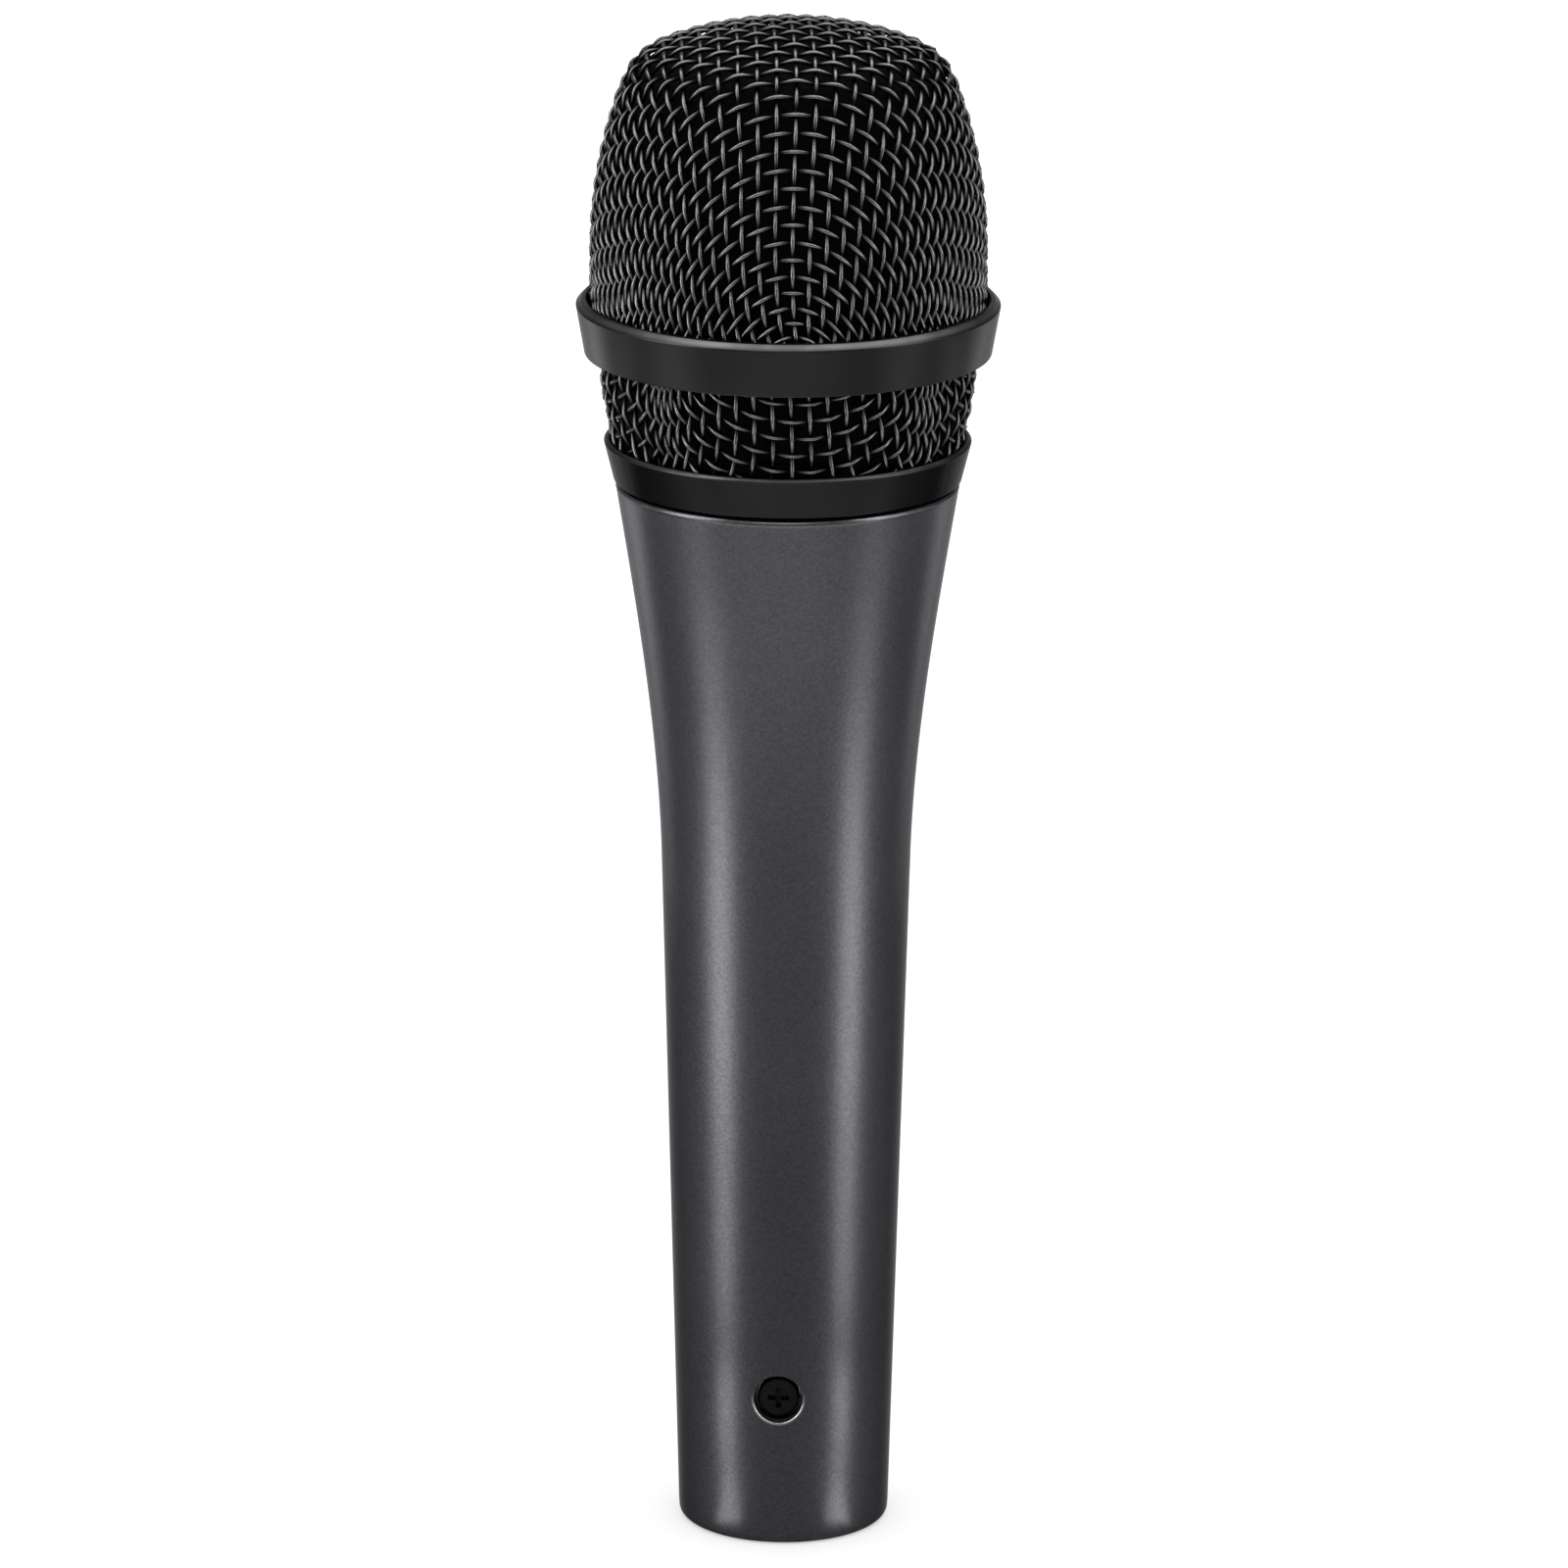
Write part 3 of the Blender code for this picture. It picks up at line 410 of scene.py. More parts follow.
def black_anodised(edge, inside, shade):
    """Blackened metal of a shade, rubbed at the height of its edge, where the lighter band is partly a
    painted highlight, and painted near black and dull within an inside radius as painted shade.
    """

    def look(place):
        across, along, height = axes(place)
        # Inside the radius the metal is painted near black: painted shade for the hollow inside the head.
        dull_and_painted_shade = eased(across * across + along * along, (inside * MM) ** 2, ((inside - 0.2) * MM) ** 2)
        lines = lathe_lines(height, 0.11 * MM)
        drift = cloud(place, 9.0 * MM)
        specks = cloud(place, 0.35 * MM, 3.0)
        # The rubbed band along the edge is partly wear and partly a painted highlight on the chamfer,
        # lightened all along it.
        rim = near(height, edge * MM, 0.5 * MM)
        rubbed_and_highlight = rim * (0.55 + 0.45 * eased(cloud(place, 4.0 * MM, 4.0), 0.35, 0.75))
        dark, light, bare_and_highlight = [(share * shade,) * 3 for share in (0.6, 1.2, 4.2)]
        outside = tint(rubbed_and_highlight, tint(0.6 * drift + 0.3 * specks, dark, light), bare_and_highlight)
        return {
            "Base Color": tint(dull_and_painted_shade, outside, (0.002, 0.002, 0.002)),
            "Roughness": 0.28 + 0.06 * specks + 0.06 * lines + 0.4 * dull_and_painted_shade,
            "Normal": relief(lines + 0.4 * specks, 0.004 * MM),
        }

    return look


def coated_wire(place):
    """Black coated wire, a little polished on the crests, painted dark in the troughs as painted shade and
    lighter on the crests as painted light.
    """
    crest = place.add("ShaderNodeAttribute", {"attribute_name": "crest"}, {}, "Fac")
    specks = cloud(place, 0.16 * MM, 3.0)
    drift = cloud(place, 6.0 * MM)
    # Troughs of the weave are painted near black as painted shade and crests lighter as painted light.
    crest_light_trough_shade = eased(crest, 0.45, 0.9)
    worn = eased(crest, 0.7, 1.0) * eased(specks, 0.4, 0.7)
    body = tint(crest_light_trough_shade * (0.75 + 0.25 * drift), (0.0012, 0.0012, 0.0012), (0.050, 0.050, 0.050))
    return {
        "Base Color": tint(0.3 * worn, body, (0.14, 0.14, 0.14)),
        "Roughness": 0.36 - 0.14 * crest + 0.08 * specks,
        "Normal": relief(specks, 0.008 * MM),
    }


def open_foam(place):
    """Black open-cell foam."""
    pores = place.add("ShaderNodeTexVoronoi", {}, {"Vector": place, "Scale": 1.0 / (0.5 * MM)}, "Distance")
    shade = eased(pores, 0.1, 0.65)
    return {
        "Base Color": tint(shade, (0.0002, 0.0002, 0.0002), (0.0014, 0.0014, 0.0014)),
        "Roughness": 0.9 + 0.1 * shade,
        "Normal": relief(shade, 0.12 * MM),
    }


def black_rubber(place):
    """Dull rubber with a dusty bloom."""
    bloom = cloud(place, 3.0 * MM, 3.0)
    fine = cloud(place, 0.2 * MM)
    return {
        "Base Color": tint(eased(bloom, 0.35, 0.8), (0.010, 0.010, 0.010), (0.024, 0.023, 0.022)),
        "Roughness": 0.68 + 0.2 * bloom,
        "Normal": relief(fine, 0.01 * MM),
    }


def moulded_plastic(place):
    """Black moulded plastic with a fine spark texture."""
    spark = cloud(place, 0.12 * MM, 3.0)
    drift = cloud(place, 5.0 * MM)
    return {
        "Base Color": tint(drift, (0.012, 0.012, 0.013), (0.022, 0.022, 0.023)),
        "Roughness": 0.42 + 0.16 * spark,
        "Normal": relief(spark, 0.008 * MM),
    }


def dust_cloth(place):
    """Grey woven cloth."""
    across, along, _ = axes(place)
    threads = []
    for way in (across, along):
        wave = way.add("ShaderNodeMath", {"operation": "SINE"}, {0: way * (FULL_TURN / (0.42 * MM))})
        threads.append(abs(wave))
    weave = 0.5 * threads[0] + 0.5 * threads[1]
    lint = cloud(place, 0.7 * MM, 4.0)
    return {
        "Base Color": tint(0.6 * weave + 0.4 * lint, (0.035, 0.035, 0.036), (0.12, 0.12, 0.12)),
        "Roughness": 0.8 + 0.15 * lint,
        "Normal": relief(weave, 0.05 * MM),
    }


def stretched_film(place):
    """Pale clear film with faint handling marks."""
    marks = cloud(place, 1.6 * MM, 4.0)
    return {
        "Base Color": tint(marks, (0.62, 0.61, 0.55), (0.78, 0.77, 0.71)),
        "Roughness": 0.14 + 0.16 * marks,
        "Normal": relief(marks, 0.006 * MM),
    }


def turned_metal(dark, light, smooth, lines_size):
    """Bare turned metal between two shades."""

    def look(place):
        lines = lathe_lines(axes(place)[2], lines_size * MM)
        stain = cloud(place, 2.4 * MM, 4.0)
        fine = cloud(place, 0.15 * MM)
        return {
            "Base Color": tint(0.65 * stain + 0.35 * lines, dark, light),
            "Roughness": smooth + 0.14 * lines + 0.1 * stain,
            "Normal": relief(lines + 0.4 * fine, 0.004 * MM),
        }

    return look


def resin_board(place):
    """Brown pressed board with paper fibres."""
    fibres = cloud(place, 0.5 * MM, 5.0)
    drift = cloud(place, 3.0 * MM)
    return {
        "Base Color": tint(0.6 * fibres + 0.4 * drift, (0.15, 0.07, 0.025), (0.32, 0.17, 0.07)),
        "Roughness": 0.5 + 0.25 * fibres,
        "Normal": relief(fibres, 0.01 * MM),
    }


def wire_sheath(dark, light):
    """Coloured plastic sheath."""

    def look(place):
        drift = cloud(place, 4.0 * MM, 3.0)
        fine = cloud(place, 0.2 * MM)
        return {
            "Base Color": tint(drift, dark, light),
            "Roughness": 0.34 + 0.14 * fine,
            "Normal": relief(fine, 0.006 * MM),
        }

    return look


METAL = {"Metallic": 1.0}
DARK_METAL = {"Metallic": 1.0, "Specular Tint": (0.45, 0.45, 0.45, 1.0)}
RING_METAL = {"Metallic": 1.0, "Specular Tint": (0.5, 0.5, 0.5, 1.0)}
ALLOY_SHADES = ((0.52, 0.52, 0.54), (0.76, 0.76, 0.78))
COPPER_SHADES = ((0.42, 0.16, 0.07), (0.74, 0.36, 0.2))
MAGNET_SHADES = ((0.16, 0.16, 0.17), (0.32, 0.32, 0.34))
STEEL_SHADES = ((0.36, 0.36, 0.37), (0.58, 0.58, 0.57))
BRASS_SHADES = ((0.46, 0.30, 0.10), (0.72, 0.52, 0.22))
SILVER_SHADES = ((0.60, 0.58, 0.53), (0.80, 0.78, 0.73))
OXIDE_SHADES = ((0.003, 0.003, 0.003), (0.010, 0.010, 0.010))
FINISHES = {
    "handle": finish("satin_paint", satin_paint, DARK_METAL),
    "grille_ring": finish("ring_black", black_anodised(RING_HIGH - 0.3, 23.95, 0.0104), RING_METAL),
    # The collar's shade is darker than the ring's as painted shade, offsetting the extra light it takes
    # from below.
    "grille_collar": finish("collar_black", black_anodised(COLLAR_HIGH - 0.1, 20.4, 0.0068), DARK_METAL),
    "grille_wire": finish("coated_wire", coated_wire, DARK_METAL),
    "foam": finish("open_foam", open_foam, {"Specular IOR Level": 0.02}),
    "rubber": finish("black_rubber", black_rubber, {"Specular IOR Level": 0.3}),
    "plastic": finish("moulded_plastic", moulded_plastic, {"Specular IOR Level": 0.4}),
    "cloth": finish("dust_cloth", dust_cloth, {"Specular IOR Level": 0.2}),
    "film": finish("stretched_film", stretched_film, {"Coat Weight": 0.3}),
    "alloy": finish("turned_alloy", turned_metal(*ALLOY_SHADES, 0.26, 0.12), METAL),
    "copper": finish("copper_winding", turned_metal(*COPPER_SHADES, 0.24, 0.3), METAL),
    "magnet": finish("magnet_grey", turned_metal(*MAGNET_SHADES, 0.36, 0.5), METAL),
    "steel": finish("plated_steel", turned_metal(*STEEL_SHADES, 0.24, 0.1), METAL),
    "brass": finish("brass_leaf", turned_metal(*BRASS_SHADES, 0.26, 0.14), METAL),
    "silver": finish("plated_pin", turned_metal(*SILVER_SHADES, 0.14, 0.1), METAL),
    "board": finish("resin_board", resin_board, {"Specular IOR Level": 0.3}),
    "oxide": finish("black_oxide", turned_metal(*OXIDE_SHADES, 0.32, 0.08), DARK_METAL),
    "red": finish("red_sheath", wire_sheath((0.34, 0.012, 0.010), (0.50, 0.025, 0.02)), {}),
    "blue": finish("blue_sheath", wire_sheath((0.012, 0.035, 0.27), (0.022, 0.06, 0.42)), {}),
}


def show(name, mesh, look, body, node):
    """Hang a finished mesh on its body, or fix it where it stands when a bend between two bodies is given,
    in place of the frame node that it details.
    """
    thing = bpy.data.objects.new(name, mesh)
    bpy.context.scene.collection.objects.link(thing)
    mesh.materials.clear()
    mesh.materials.append(FINISHES[look])
    if isinstance(body, str):
        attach(thing, body)
    else:
        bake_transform(thing)
    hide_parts(node)
    return thing


def settle(name, body):
    """Close a modelled body into a mesh with smooth rounds and crisp edges."""
    bmesh.ops.remove_doubles(body, verts=body.verts, dist=WELD)
    bmesh.ops.recalc_face_normals(body, faces=body.faces)
    for face in body.faces:
        face.smooth = True
    for edge in body.edges:
        edge.smooth = edge.calc_face_angle(0.0) < SHARP
    mesh = bpy.data.meshes.new(name)
    body.to_mesh(mesh)
    body.free()
    return mesh


def turned(outline, sides=INNER_SIDES, angle=FULL_TURN):
    """Spin an outline of (radius, height) points in millimetres round the axis."""
    body = bmesh.new()
    corners = [body.verts.new((radius * MM, 0.0, height * MM)) for radius, height in outline]
    edges = [body.edges.new(pair) for pair in zip(corners, corners[1:])]
    if outline[0][0] > 0.0:
        edges.append(body.edges.new((corners[-1], corners[0])))
    bmesh.ops.spin(
        body,
        geom=corners + edges,
        axis=(0.0, 0.0, 1.0),
        cent=(0.0, 0.0, 0.0),
        dvec=(0.0, 0.0, 0.0),
        angle=angle,
        steps=sides,
        use_merge=angle == FULL_TURN,
        use_duplicate=False,
    )
    bmesh.ops.remove_doubles(body, verts=body.verts, dist=WELD)
    bmesh.ops.recalc_face_normals(body, faces=body.faces)
    return body


def soften(body, width, segments=2):
    """Round every crisp edge of a body by this many millimetres."""
    edges = [edge for edge in body.edges if edge.calc_face_angle(0.0) > SHARP]
    bmesh.ops.bevel(
        body,
        geom=edges,
        offset=width * MM,
        offset_type="OFFSET",
        segments=segments,
        profile=0.5,
        affect="EDGES",
        material=-1,
        clamp_overlap=True,
    )
    return body


def block(size, centre):
    """A box, in millimetres."""
    body = bmesh.new()
    place = Matrix.Translation(Vector(centre) * MM) @ Matrix.Diagonal((*(Vector(size) * MM), 1.0))
    bmesh.ops.create_cube(body, size=1.0, matrix=place)
    return body


def rod_outline(radius, low, high):
    return [(0.0, low), (radius, low), (radius, high), (0.0, high)]


def tube_outline(inner, outer, low, high):
    return [(inner, low), (outer, low), (outer, high), (inner, high)]


def braced(outline, margin):
    """An outline with points near the ends of its long stretches, so that they stay flat when smoothed."""
    points = []
    for start, end in zip(outline, outline[1:] + outline[:1]):
        points.append(start)
        length = math.dist(start, end)
        if length > 4.0 * margin:
            for share in (margin / length, 1.0 - margin / length):
                points.append(tuple(a + share * (b - a) for a, b in zip(start, end)))
    return points


def arc(centre, radius, start, end, steps):
    """Points on a round stretch of an outline, with angles from the outward radius."""
    points = []
    for step in range(steps + 1):
        angle = start + (end - start) * step / steps
        points.append((centre[0] + radius * math.cos(angle), centre[1] + radius * math.sin(angle)))
    return points


def curve_radius(start, start_slope, end, end_slope, height):
    """The radius of a smooth curve between two outline points with a set slope at each."""
    length = end[1] - start[1]
    t = min(max((height - start[1]) / length, 0.0), 1.0)
    return (
        (1.0 + 2.0 * t) * (1.0 - t) ** 2 * start[0]
        + t * (1.0 - t) ** 2 * length * start_slope
        + t * t * (3.0 - 2.0 * t) * end[0]
        + t * t * (t - 1.0) * length * end_slope
    )


def thread_ridge(root, crest, start, turns, pitch, widths, sides):
    """A screw ridge that winds up round the axis, with widths at its root and crest, sunk into the root."""
    body = bmesh.new()
    sunk = root - math.copysign(0.2, crest - root)
    base, top = (width / 2 for width in widths)
    section = [
        (sunk, start - base),
        (root, start - base),
        (crest, start - top),
        (crest, start + top),
        (root, start + base),
        (sunk, start + base),
    ]
    corners = [body.verts.new((radius * MM, 0.0, height * MM)) for radius, height in section]
    edges = [body.edges.new((a, b)) for a, b in zip(corners, corners[1:] + corners[:1])]
    steps = round(turns * sides)
    bmesh.ops.spin(
        body,
        geom=corners + edges,
        axis=(0.0, 0.0, 1.0),
        cent=(0.0, 0.0, 0.0),
        dvec=(0.0, 0.0, pitch * MM / sides),
        angle=FULL_TURN * steps / sides,
        steps=steps,
        use_merge=False,
        use_duplicate=False,
    )
    ends = [edge for edge in body.edges if edge.is_boundary]
    bmesh.ops.holes_fill(body, edges=ends, sides=len(section))
    return body


def crossways(body, height=SCREW_HEIGHT):
    """Lay an upright body along Y at a height, its top towards -Y."""
    turn = Matrix.Rotation(math.radians(90.0), 3, "X")
    bmesh.ops.rotate(body, verts=body.verts, cent=(0.0, 0.0, 0.0), matrix=turn)
    bmesh.ops.translate(body, verts=body.verts, vec=(0.0, 0.0, height * MM))
    return body


def moved(body, x, y):
    bmesh.ops.translate(body, verts=body.verts, vec=(x * MM, y * MM, 0.0))
    return body


def joined(first, *others):
    """Put several bodies into the first."""
    for other in others:
        mesh = settle("part", other)
        first.from_mesh(mesh)
        bpy.data.meshes.remove(mesh)
    return first


def cut(body, *tools):
    """Cut tools out of a body."""
    thing = bpy.data.objects.new("blank", settle("blank", body))
    bpy.context.scene.collection.objects.link(thing)
    cutters = []
    for tool in tools:
        cutter = bpy.data.objects.new("cutter", settle("cutter", tool))
        bpy.context.scene.collection.objects.link(cutter)
        step = thing.modifiers.new("cut", "BOOLEAN")
        step.operation = "DIFFERENCE"
        step.solver = "EXACT"
        step.object = cutter
        cutters.append(cutter)
    view = bpy.context.evaluated_depsgraph_get()
    shaped = bmesh.new()
    shaped.from_object(thing, view)
    for leftover in (thing, *cutters):
        mesh = leftover.data
        bpy.data.objects.remove(leftover)
        bpy.data.meshes.remove(mesh)
    bmesh.ops.remove_doubles(shaped, verts=shaped.verts, dist=WELD)
    return shaped


def wire_curve(name, radius, rings, steps=12):
    """An empty curve for round wire of a radius in millimetres, as fine as its rings and steps."""
    wire = bpy.data.curves.new(name, "CURVE")
    wire.dimensions = "3D"
    wire.bevel_depth = radius * MM
    wire.bevel_resolution = rings
    wire.resolution_u = steps
    wire.use_fill_caps = True
    return wire


def wire_mesh(name, wire):
    """Make a wire's curve into a smooth mesh."""
    thing = bpy.data.objects.new(name, wire)
    mesh = bpy.data.meshes.new_from_object(thing)
    bpy.data.objects.remove(thing)
    bpy.data.curves.remove(wire)
    mesh.polygons.foreach_set("use_smooth", [True] * len(mesh.polygons))
    mesh.name = name
    return mesh


def handle_radius(height):
    """The outside of the handle."""
    if height < WAIST[1]:
        return BASE_RADIUS + BODY_SLOPE * height
    return curve_radius(WAIST, BODY_SLOPE, SHOULDER, FLARE_SLOPE, height)


def hole_tool():
    """The stepped hole for the screw, with a chamfer that follows the handle's round side."""
    mouth = handle_radius(SCREW_HEIGHT)
    outside = mouth + 3.0
    flare = HOLE_RADIUS + HOLE_CHAMFER
    outline = [(0.0, 4.0), (PASSAGE_RADIUS, 4.0), (PASSAGE_RADIUS, HOLE_FLOOR), (HOLE_RADIUS, HOLE_FLOOR)]
    outline += arc((flare, mouth - HOLE_CHAMFER), HOLE_CHAMFER, math.pi, math.pi / 2, 4)
    outline += [(flare + 0.6, mouth + 0.02), (flare + 0.6, outside), (0.0, outside)]
    tool = turned(outline, 72)
    for corner in tool.verts:
        depth = corner.co.z / MM
        if mouth - HOLE_CHAMFER * 1.01 < depth < outside - 0.1:
            aside = corner.co.x / MM
            corner.co.z -= (mouth - math.sqrt(mouth**2 - aside**2)) * MM
    return crossways(tool)


def build_handle():
    # Levels lie closer together round the hole and along the flare.
    heights = [1.6 + 1.6 * step for step in range(7)]
    heights += [13.2 + 0.42 * step for step in range(26)]
    heights += [26.0 + 3.0 * step for step in range(19)]
    heights += [WAIST[1] + (SHOULDER[1] - WAIST[1]) * step / 30 for step in range(30)]
    heights += [SHOULDER[1] - 0.5, SHOULDER[1] - 0.25]
    outline = [(SEAT_RADIUS, 0.25), (SEAT_RADIUS + 0.25, 0.0)]
    outline += arc((BASE_RADIUS - BASE_ROUNDING, BASE_ROUNDING), BASE_ROUNDING, -math.pi / 2, 0.0, 8)
    outline += [(handle_radius(height), height) for height in heights]
    rounding = (SHOULDER[0] - SHOULDER_ROUNDING, HANDLE_TOP - SHOULDER_ROUNDING)
    outline += arc(rounding, SHOULDER_ROUNDING, -math.atan(FLARE_SLOPE), math.pi / 2, 9)
    outline += [(NECK_RADIUS + 0.15, HANDLE_TOP), (NECK_RADIUS, HANDLE_TOP + 0.15)]
    outline += [(NECK_RADIUS, NECK_TOP - 0.4), (NECK_RADIUS - 0.4, NECK_TOP)]
    outline += [(NECK_BORE + 0.2, NECK_TOP), (NECK_BORE, NECK_TOP - 0.2), (NECK_BORE, BORE_LOW)]
    outline += [(WAIST[0] - HANDLE_WALL, WAIST[1])]
    outline += [(handle_radius(STOP_HIGH) - HANDLE_WALL, STOP_HIGH + 0.9)]
    outline += [(STOP_RADIUS, STOP_HIGH), (STOP_RADIUS, STOP_LOW), (SEAT_RADIUS, STOP_LOW)]
    body = cut(turned(outline, OUTER_SIDES), hole_tool())
    crest = NECK_RADIUS + THREAD_DEPTH
    ridge = thread_ridge(
        NECK_RADIUS, crest, THREAD_START, NECK_TURNS, THREAD_PITCH, THREAD_WIDTHS, OUTER_SIDES
    )
    show("handle_shell", settle("handle_shell", joined(body, ridge)), "handle", "handle_body", "handle")
    gasket = soften(turned(tube_outline(*GASKET), OUTER_SIDES), 0.3, 3)
    show("gasket_band", settle("gasket_band", gasket), "rubber", "handle_body", "neck_gasket")


def build_collar_and_ring():
    pocket_radius, pocket_high = COLLAR_POCKET
    collar = [
        (pocket_radius, COLLAR_LOW),
        (COLLAR_FOOT, COLLAR_LOW),
        (COLLAR_RADIUS, COLLAR_HIGH - COLLAR_CHAMFER),
        (COLLAR_RADIUS - COLLAR_CHAMFER, COLLAR_HIGH),
        (GROOVE[1], COLLAR_HIGH),
        (GROOVE[1], GROOVE_FLOOR),
        (GROOVE[0], GROOVE_FLOOR),
        (GROOVE[0], COLLAR_TOP),
        (COLLAR_BORE, COLLAR_TOP),
        (COLLAR_BORE, pocket_high),
        (pocket_radius, pocket_high),
    ]
    body = soften(turned(braced(collar, 0.13), OUTER_SIDES), 0.08)
    start = THREAD_START + THREAD_PITCH / 2
    crest = COLLAR_BORE - THREAD_DEPTH
    ridge = thread_ridge(COLLAR_BORE, crest, start, COLLAR_TURNS, THREAD_PITCH, THREAD_WIDTHS, OUTER_SIDES)
    mesh = settle("threaded_collar", joined(body, ridge))
    show("threaded_collar", mesh, "grille_collar", "grille_head", "grille_collar")
    ring = [
        (RING_LOWER_BORE, RING_LOW),
        (RING_FOOT, RING_LOW),
        (RING_RADIUS, RING_HIGH - RING_CHAMFER),
        (RING_RADIUS - RING_CHAMFER, RING_HIGH),
        (RING_UPPER_BORE, RING_HIGH),
        (RING_UPPER_BORE, WEB_HIGH),
        (WEB_BORE, WEB_HIGH),
        (WEB_BORE, WEB_LOW),
        (RING_LOWER_BORE, WEB_LOW),
    ]
    body = soften(turned(braced(ring, 0.15), OUTER_SIDES), 0.09)
    show("clamp_ring", settle("clamp_ring", body), "grille_ring", "grille_head", "grille_ring")


def dome_outline(inset, steps):
    """One side of the dome, from the top of its skirt to the crown, moved inward by an inset."""
    side_radius, side_angle = SIDE_ARC
    shoulder_radius, shoulder_end = SHOULDER_ARC
    side_centre = (DOME_RADIUS - side_radius, SKIRT_HIGH)
    reach = side_radius - shoulder_radius
    shoulder_centre = (
        side_centre[0] + reach * math.cos(side_angle),
        side_centre[1] + reach * math.sin(side_angle),
    )
    crown_radius = shoulder_centre[0] / math.cos(shoulder_end) + shoulder_radius
    crown_height = shoulder_centre[1] - shoulder_centre[0] * math.tan(shoulder_end)
    points = arc(side_centre, side_radius - inset, 0.0, side_angle, steps)
    points += arc(shoulder_centre, shoulder_radius - inset, side_angle, shoulder_end, steps)[1:]
    points += arc((0.0, crown_height), crown_radius - inset, shoulder_end, math.pi / 2, steps)[1:-1]
    return points + [(0.0, crown_height + crown_radius - inset)]


def bowl_radius(height):
    """The outside of the lower grille."""
    return curve_radius(BOWL_FOOT, BOWL_SLOPE, BOWL_HEAD, 0.0, height)


class Former:
    """A turned wall, in millimetres, that carries a weave; a reach tells how far along it a point is."""

    def __init__(self, outline, reaches, turn):
        line = np.array(outline)
        self.reach = np.array(reaches)
        self.radius, self.height = line.T
        slope = np.gradient(line, axis=0)
        slope *= math.copysign(1.0, line[0, 1] - line[-1, 1]) / np.hypot(*slope.T)[:, None]
        self.out = -slope[:, 1]
        self.up = slope[:, 0]
        self.turn = turn
        self.centre = (line[0, 1] + line[-1, 1]) / 2
        bearing = np.arctan2(self.radius, self.height - self.centre)
        self.order = np.argsort(bearing)
        self.bearing = bearing[self.order]
        self.distance = np.hypot(self.radius, self.height - self.centre)[self.order]

    def lifted(self, reach, azimuth, lift):
        """A point at a lift above the wall, turned to where the weave lies on the head."""
        radius = np.interp(reach, self.reach, self.radius) + lift * np.interp(reach, self.reach, self.out)
        height = np.interp(reach, self.reach, self.height) + lift * np.interp(reach, self.reach, self.up)
        bearing = azimuth + self.turn
        return Vector((radius * math.cos(bearing), radius * math.sin(bearing), height)) * MM

    def lift_of(self, points):
        """How far points, in metres, stand above the wall."""
        flat = np.hypot(points[:, 0], points[:, 1]) / MM
        rise = points[:, 2] / MM - self.centre
        return np.hypot(flat, rise) - np.interp(np.arctan2(flat, rise), self.bearing, self.distance)


def series(value, factors):
    """Factors times rising powers of a value, added up."""
    return sum(factor * value**power for power, factor in enumerate(factors))


def dome_spread(row, column):
    """Where a point of the flat weave lies on the dome: its length from the crown and its azimuth."""
    across = row + DOME_SHIFT[0]
    along = column + DOME_SHIFT[1]
    flat = DOME_PITCH * math.hypot(across, along)
    bearing = math.atan2(along, across)
    share = flat / DOME_REACH
    square = share * share
    pull = share**3 * (math.cos(4.0 * bearing) - 1.0) * series(square, DOME_PULL)
    pull += share**5 * (math.cos(8.0 * bearing) - 1.0) * series(square, DOME_FINE_PULL)
    swing = square * math.sin(4.0 * bearing) * series(square, DOME_SWING)
    swing += square * square * math.sin(8.0 * bearing) * series(square, DOME_FINE_SWING)
    reach = flat * series(square, DOME_STRETCH) + DOME_REACH * pull
    return reach, bearing + swing + series(square, DOME_TWIST)


def bowl_spread(row, column):
    """Where a point of the flat weave lies on the bowl: its height and its azimuth."""
    across = row + BOWL_SHIFT[0]
    along = column + BOWL_SHIFT[1]
    flat = BOWL_PITCH * math.hypot(across, along)
    bearing = math.atan2(along, across)
    share = (flat - BOWL_MIDDLE) / BOWL_STEP
    pull = (math.cos(4.0 * bearing) - 1.0) * series(share, BOWL_PULL)
    pull += (math.cos(8.0 * bearing) - 1.0) * series(share, BOWL_FINE_PULL)
    swing = math.sin(4.0 * bearing) * series(share, BOWL_SWING)
    swing += math.sin(8.0 * bearing) * series(share, BOWL_FINE_SWING)
    return series(share, BOWL_RISE) + pull, bearing + swing + series(share, BOWL_TWIST)


def wire_runs(line, count, low, high):
    """Stretches of one wire between two reaches: lists of (number along the wire, reach, azimuth)."""
    runs = []
    run = []
    last = None
    for number in range(-count, count + 1):
        reach, azimuth = line(number)
        inside = low <= reach <= high
        if last is not None and inside != last:
            near_end, far_end = (number, number - 1.0) if inside else (number - 1.0, number)
            for _ in range(20):
                middle = (near_end + far_end) / 2
                if low <= line(middle)[0] <= high:
                    near_end = middle
                else:
                    far_end = middle
            run.append((None, *line(near_end)))
            if not inside:
                runs.append(run)
                run = []
        if inside:
            run.append((number, reach, azimuth))
        last = inside
    return [run for run in runs if len(run) > 3]


